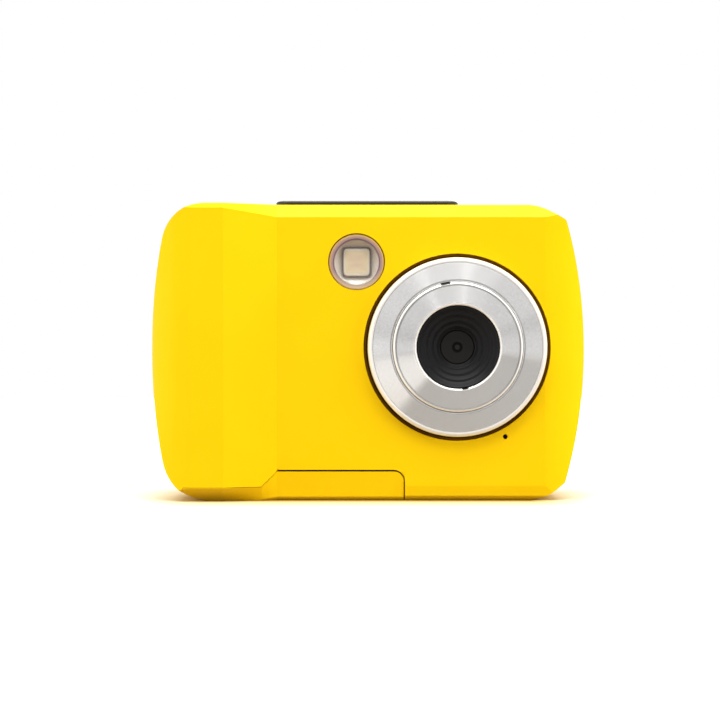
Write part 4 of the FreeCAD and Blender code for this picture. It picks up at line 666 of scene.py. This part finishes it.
# Circuit boards: laminate under green solder mask, screened on in one coat. Paler copper tracks show
# through it, and rows of tinned pads stand free of it.
tracks_per_metre = 420.0
pads_per_metre = 330.0
pad_radius = 0.17
pad_shine = 0.8
board_green = Finish("board_green", (0.02, 0.16, 0.08), 0.35, 0.5)
track_gaps = board_green.add("TexVoronoi", {"Vector": board_green.point, "Scale": tracks_per_metre},
                             distance="CHEBYCHEV", feature="DISTANCE_TO_EDGE").outputs["Distance"]
pad_places = board_green.add("TexVoronoi", {"Vector": board_green.point, "Scale": pads_per_metre,
                                            "Randomness": 0.25}).outputs["Distance"]
tracks = board_green.ramp(track_gaps, [(0.05, (0.05, 0.27, 0.12)), (0.08, (0.012, 0.10, 0.045))])
pads = board_green.math("LESS_THAN", pad_places, pad_radius)
board_green.join(board_green.blend(pads, tracks, (0.62, 0.60, 0.52)), "Base Color")
board_green.join(board_green.math("MULTIPLY", pads, pad_shine), "Metallic")
paint(board_green, "main_board", "top_board")

# Steel parts: bent sheet for the sockets and the contacts, drawn wire for the hinge pin, and plated
# screws. All are left bare, with the faint lines of the drawing die.
steel = Finish("drawn_steel", (0.62, 0.62, 0.63), 0.3, 0.5)
steel.set("Metallic", 1.0)
steel.mottle("Roughness", 2600, 0.28, 0.36, stretch=(0.1, 1, 1))
steel.mottle("Base Color", 1800, (0.55, 0.55, 0.56), (0.65, 0.65, 0.655))
paint(steel, "hinge_pin", "usb_socket", "card_socket", "upper_contact", "door_contact", "strap_bar",
      "case_screws")

# Strap bar: a steel pin across the recess in the grip's side, with broken edges. Its upper end stays
# inside the wall, and a piece of the side's own curve closes the hole that the solid's bar makes there.
strap_x = -44.71
strap_y = 7.2
strap_middle_z = 48.95
strap_length = 9.1
strap_radius = 0.75
broken_edge = 0.12
rod_corners = 40
strap_rod = bmesh.new()
bmesh.ops.create_cone(strap_rod, cap_ends=True, segments=rod_corners, radius1=strap_radius * MM,
                      radius2=strap_radius * MM, depth=strap_length * MM)
rims = [edge for edge in strap_rod.edges if abs(edge.verts[0].co.z - edge.verts[1].co.z) < MM]
bmesh.ops.bevel(strap_rod, geom=rims, offset=broken_edge * MM, affect="EDGES", segments=2, profile=0.5,
                material=-1)
bmesh.ops.translate(strap_rod, verts=strap_rod.verts, vec=Vector((strap_x, strap_y, strap_middle_z)) * MM)
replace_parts(finished("strap_rod", strap_rod, steel), "strap_bar")
side_centre = Vector((64.6, 33.0))
side_radius = 112.0
skin_heights = (53.5, 53.75, 54.0, 54.25, 54.5)
skin_section = ((0.02, -0.6), (0.02, 0.6), (0.4, 0.6), (0.4, -0.6))
strap_skin = bmesh.new()
skin_rows = []
for height in skin_heights:
    side_x = side_centre.x - math.sqrt(side_radius ** 2 - (height - side_centre.y) ** 2)
    skin_rows.append([strap_skin.verts.new(Vector((side_x + depth, strap_y + aside, height)) * MM)
                      for depth, aside in skin_section])
for low_row, high_row in zip(skin_rows, skin_rows[1:]):
    for corner in range(len(skin_section)):
        strap_skin.faces.new((low_row[corner - 1], low_row[corner], high_row[corner], high_row[corner - 1]))
strap_skin.faces.new(skin_rows[0])
strap_skin.faces.new(skin_rows[-1])
bmesh.ops.recalc_face_normals(strap_skin, faces=strap_skin.faces)
finished("strap_skin", strap_skin, yellow)

# Screw drives: the cross-shaped openings in the four screw heads, pressed into their round recesses and
# painted dark inside, painted shade in the recesses.
screw_places = ((36.4, 7.0), (36.4, 57.6), (-20.5, 58.8), (12.08, 7.0))
drive_top_y = 11.56
drive_depth = 0.5
head_radius = 0.88
head_corners = 32
arm = 0.76
slot_half = 0.2
head_turns = [math.tau * number / head_corners for number in range(head_corners)]
head_outline = [(head_radius * math.cos(turn), head_radius * math.sin(turn)) for turn in head_turns]
cross_outline = [
    (arm, slot_half), (slot_half, slot_half), (slot_half, arm), (-slot_half, arm),
    (-slot_half, slot_half), (-arm, slot_half), (-arm, -slot_half), (-slot_half, -slot_half),
    (-slot_half, -arm), (slot_half, -arm), (slot_half, -slot_half), (arm, -slot_half),
]
screw_drive = bmesh.new()
for screw_x, screw_z in screw_places:
    levels = []
    for screw_y in (drive_top_y, drive_top_y - drive_depth):
        levels.append([[screw_drive.verts.new(Vector((screw_x + across, screw_y, screw_z + up)) * MM)
                        for across, up in outline] for outline in (head_outline, cross_outline)])
    edges = [screw_drive.edges.new((loop[number], loop[number - 1]))
             for loop in levels[0] for number in range(len(loop))]
    bmesh.ops.triangle_fill(screw_drive, use_beauty=True, edges=edges)
    for slot_number, (top, low) in enumerate(zip(*levels)):
        for number in range(len(top)):
            wall = screw_drive.faces.new((top[number], top[number - 1], low[number - 1], low[number]))
            wall.material_index = slot_number
    screw_drive.faces.new(levels[1][1]).material_index = 1
bmesh.ops.recalc_face_normals(screw_drive, faces=screw_drive.faces)
# Painted shade: the drive's walls and floor are painted dark.
recess_painted_shade = Finish("recess_painted_shade", (0.03, 0.03, 0.032), 0.6, 0.3)
recess_painted_shade.mottle("Roughness", 2600, 0.5, 0.7)
finished("screw_drives", screw_drive, steel).data.materials.append(recess_painted_shade.material)

# Tripod bush: a turned brass insert with a threaded bore, moulded into the front shell's floor and left
# as the tool leaves it.
brass = Finish("turned_brass", (0.78, 0.6, 0.3), 0.28, 0.5)
brass.set("Metallic", 1.0)
brass.mottle("Roughness", 900, 0.22, 0.36)
brass.mottle("Base Color", 300, (0.72, 0.54, 0.26), (0.82, 0.64, 0.33), detail=2.0)
paint(brass, "tripod_bush")

# Seals and key mat: soft moulded silicone rubber, black for the seal between the shells and grey for
# the mat behind the keys and the gasket in the door.
for rubber_name, rubber_colour, rubber_nodes in (
    ("seal_rubber", (0.035, 0.035, 0.035), ("body_seal",)),
    ("grey_rubber", (0.17, 0.17, 0.175), ("door_gasket", "key_membrane")),
):
    rubber = Finish(rubber_name, rubber_colour, 0.75, 0.3)
    rubber.mottle("Roughness", 700, 0.66, 0.84)
    rubber.bump(rubber.noise(3000), 0.01 * MM, 0.4)
    paint(rubber, *rubber_nodes)

# Door latch: a black moulded slide that runs in the door's slot. Its skin is a fine matt, and the ridges
# for the thumb are in its solid.
latch_black = Finish("latch_black", (0.02, 0.02, 0.021), 0.5, 0.4)
latch_black.bump(latch_black.noise(5000), 0.01 * MM, 0.4)
latch_black.mottle("Roughness", 900, 0.42, 0.6)
paint(latch_black, "door_latch")

# Display module: the display's own package behind the window, matt black with a faint grain, so that it
# throws no light back into the picture.
module_black = Finish("matt_chip", (0.03, 0.03, 0.033), 0.5, 0.4)
module_black.mottle("Roughness", 600, 0.42, 0.58)
module_black.bump(module_black.noise(3000), 0.01 * MM, 0.4)
paint(module_black, "display_module")

# Battery cells: a printed sleeve with a copper-coloured band towards the positive end and bare steel at
# both ends. The two cells stand the opposite way round.
cell_middle = Vector((0.0, 0.0, 26.85)) * MM
cell_length = 46.0
bare_steel = (0.60, 0.60, 0.61)
black_sleeve = (0.05, 0.05, 0.055)
copper_band = (0.62, 0.32, 0.12)
for cell_name, cell_way in (("battery_1", 1), ("battery_2", -1)):
    cell = Finish(cell_name + "_sleeve", (0.12, 0.12, 0.13), 0.3, 0.5)
    cell_share = cell.math("MULTIPLY_ADD", cell.axes(cell_middle)[2], cell_way / cell_length, 0.5)
    cell.join(cell.ramp(cell_share, [
        (0.03, bare_steel), (0.035, black_sleeve), (0.66, black_sleeve), (0.665, copper_band),
        (0.955, copper_band), (0.96, bare_steel),
    ]), "Base Color")
    cell.join(cell.ramp(cell_share, [
        (0.03, 1.0), (0.035, 0.1), (0.66, 0.1), (0.665, 0.7), (0.96, 1.0),
    ]), "Metallic")
    cell.mottle("Roughness", 200, 0.25, 0.35, detail=2.0)
    paint(cell, cell_name)
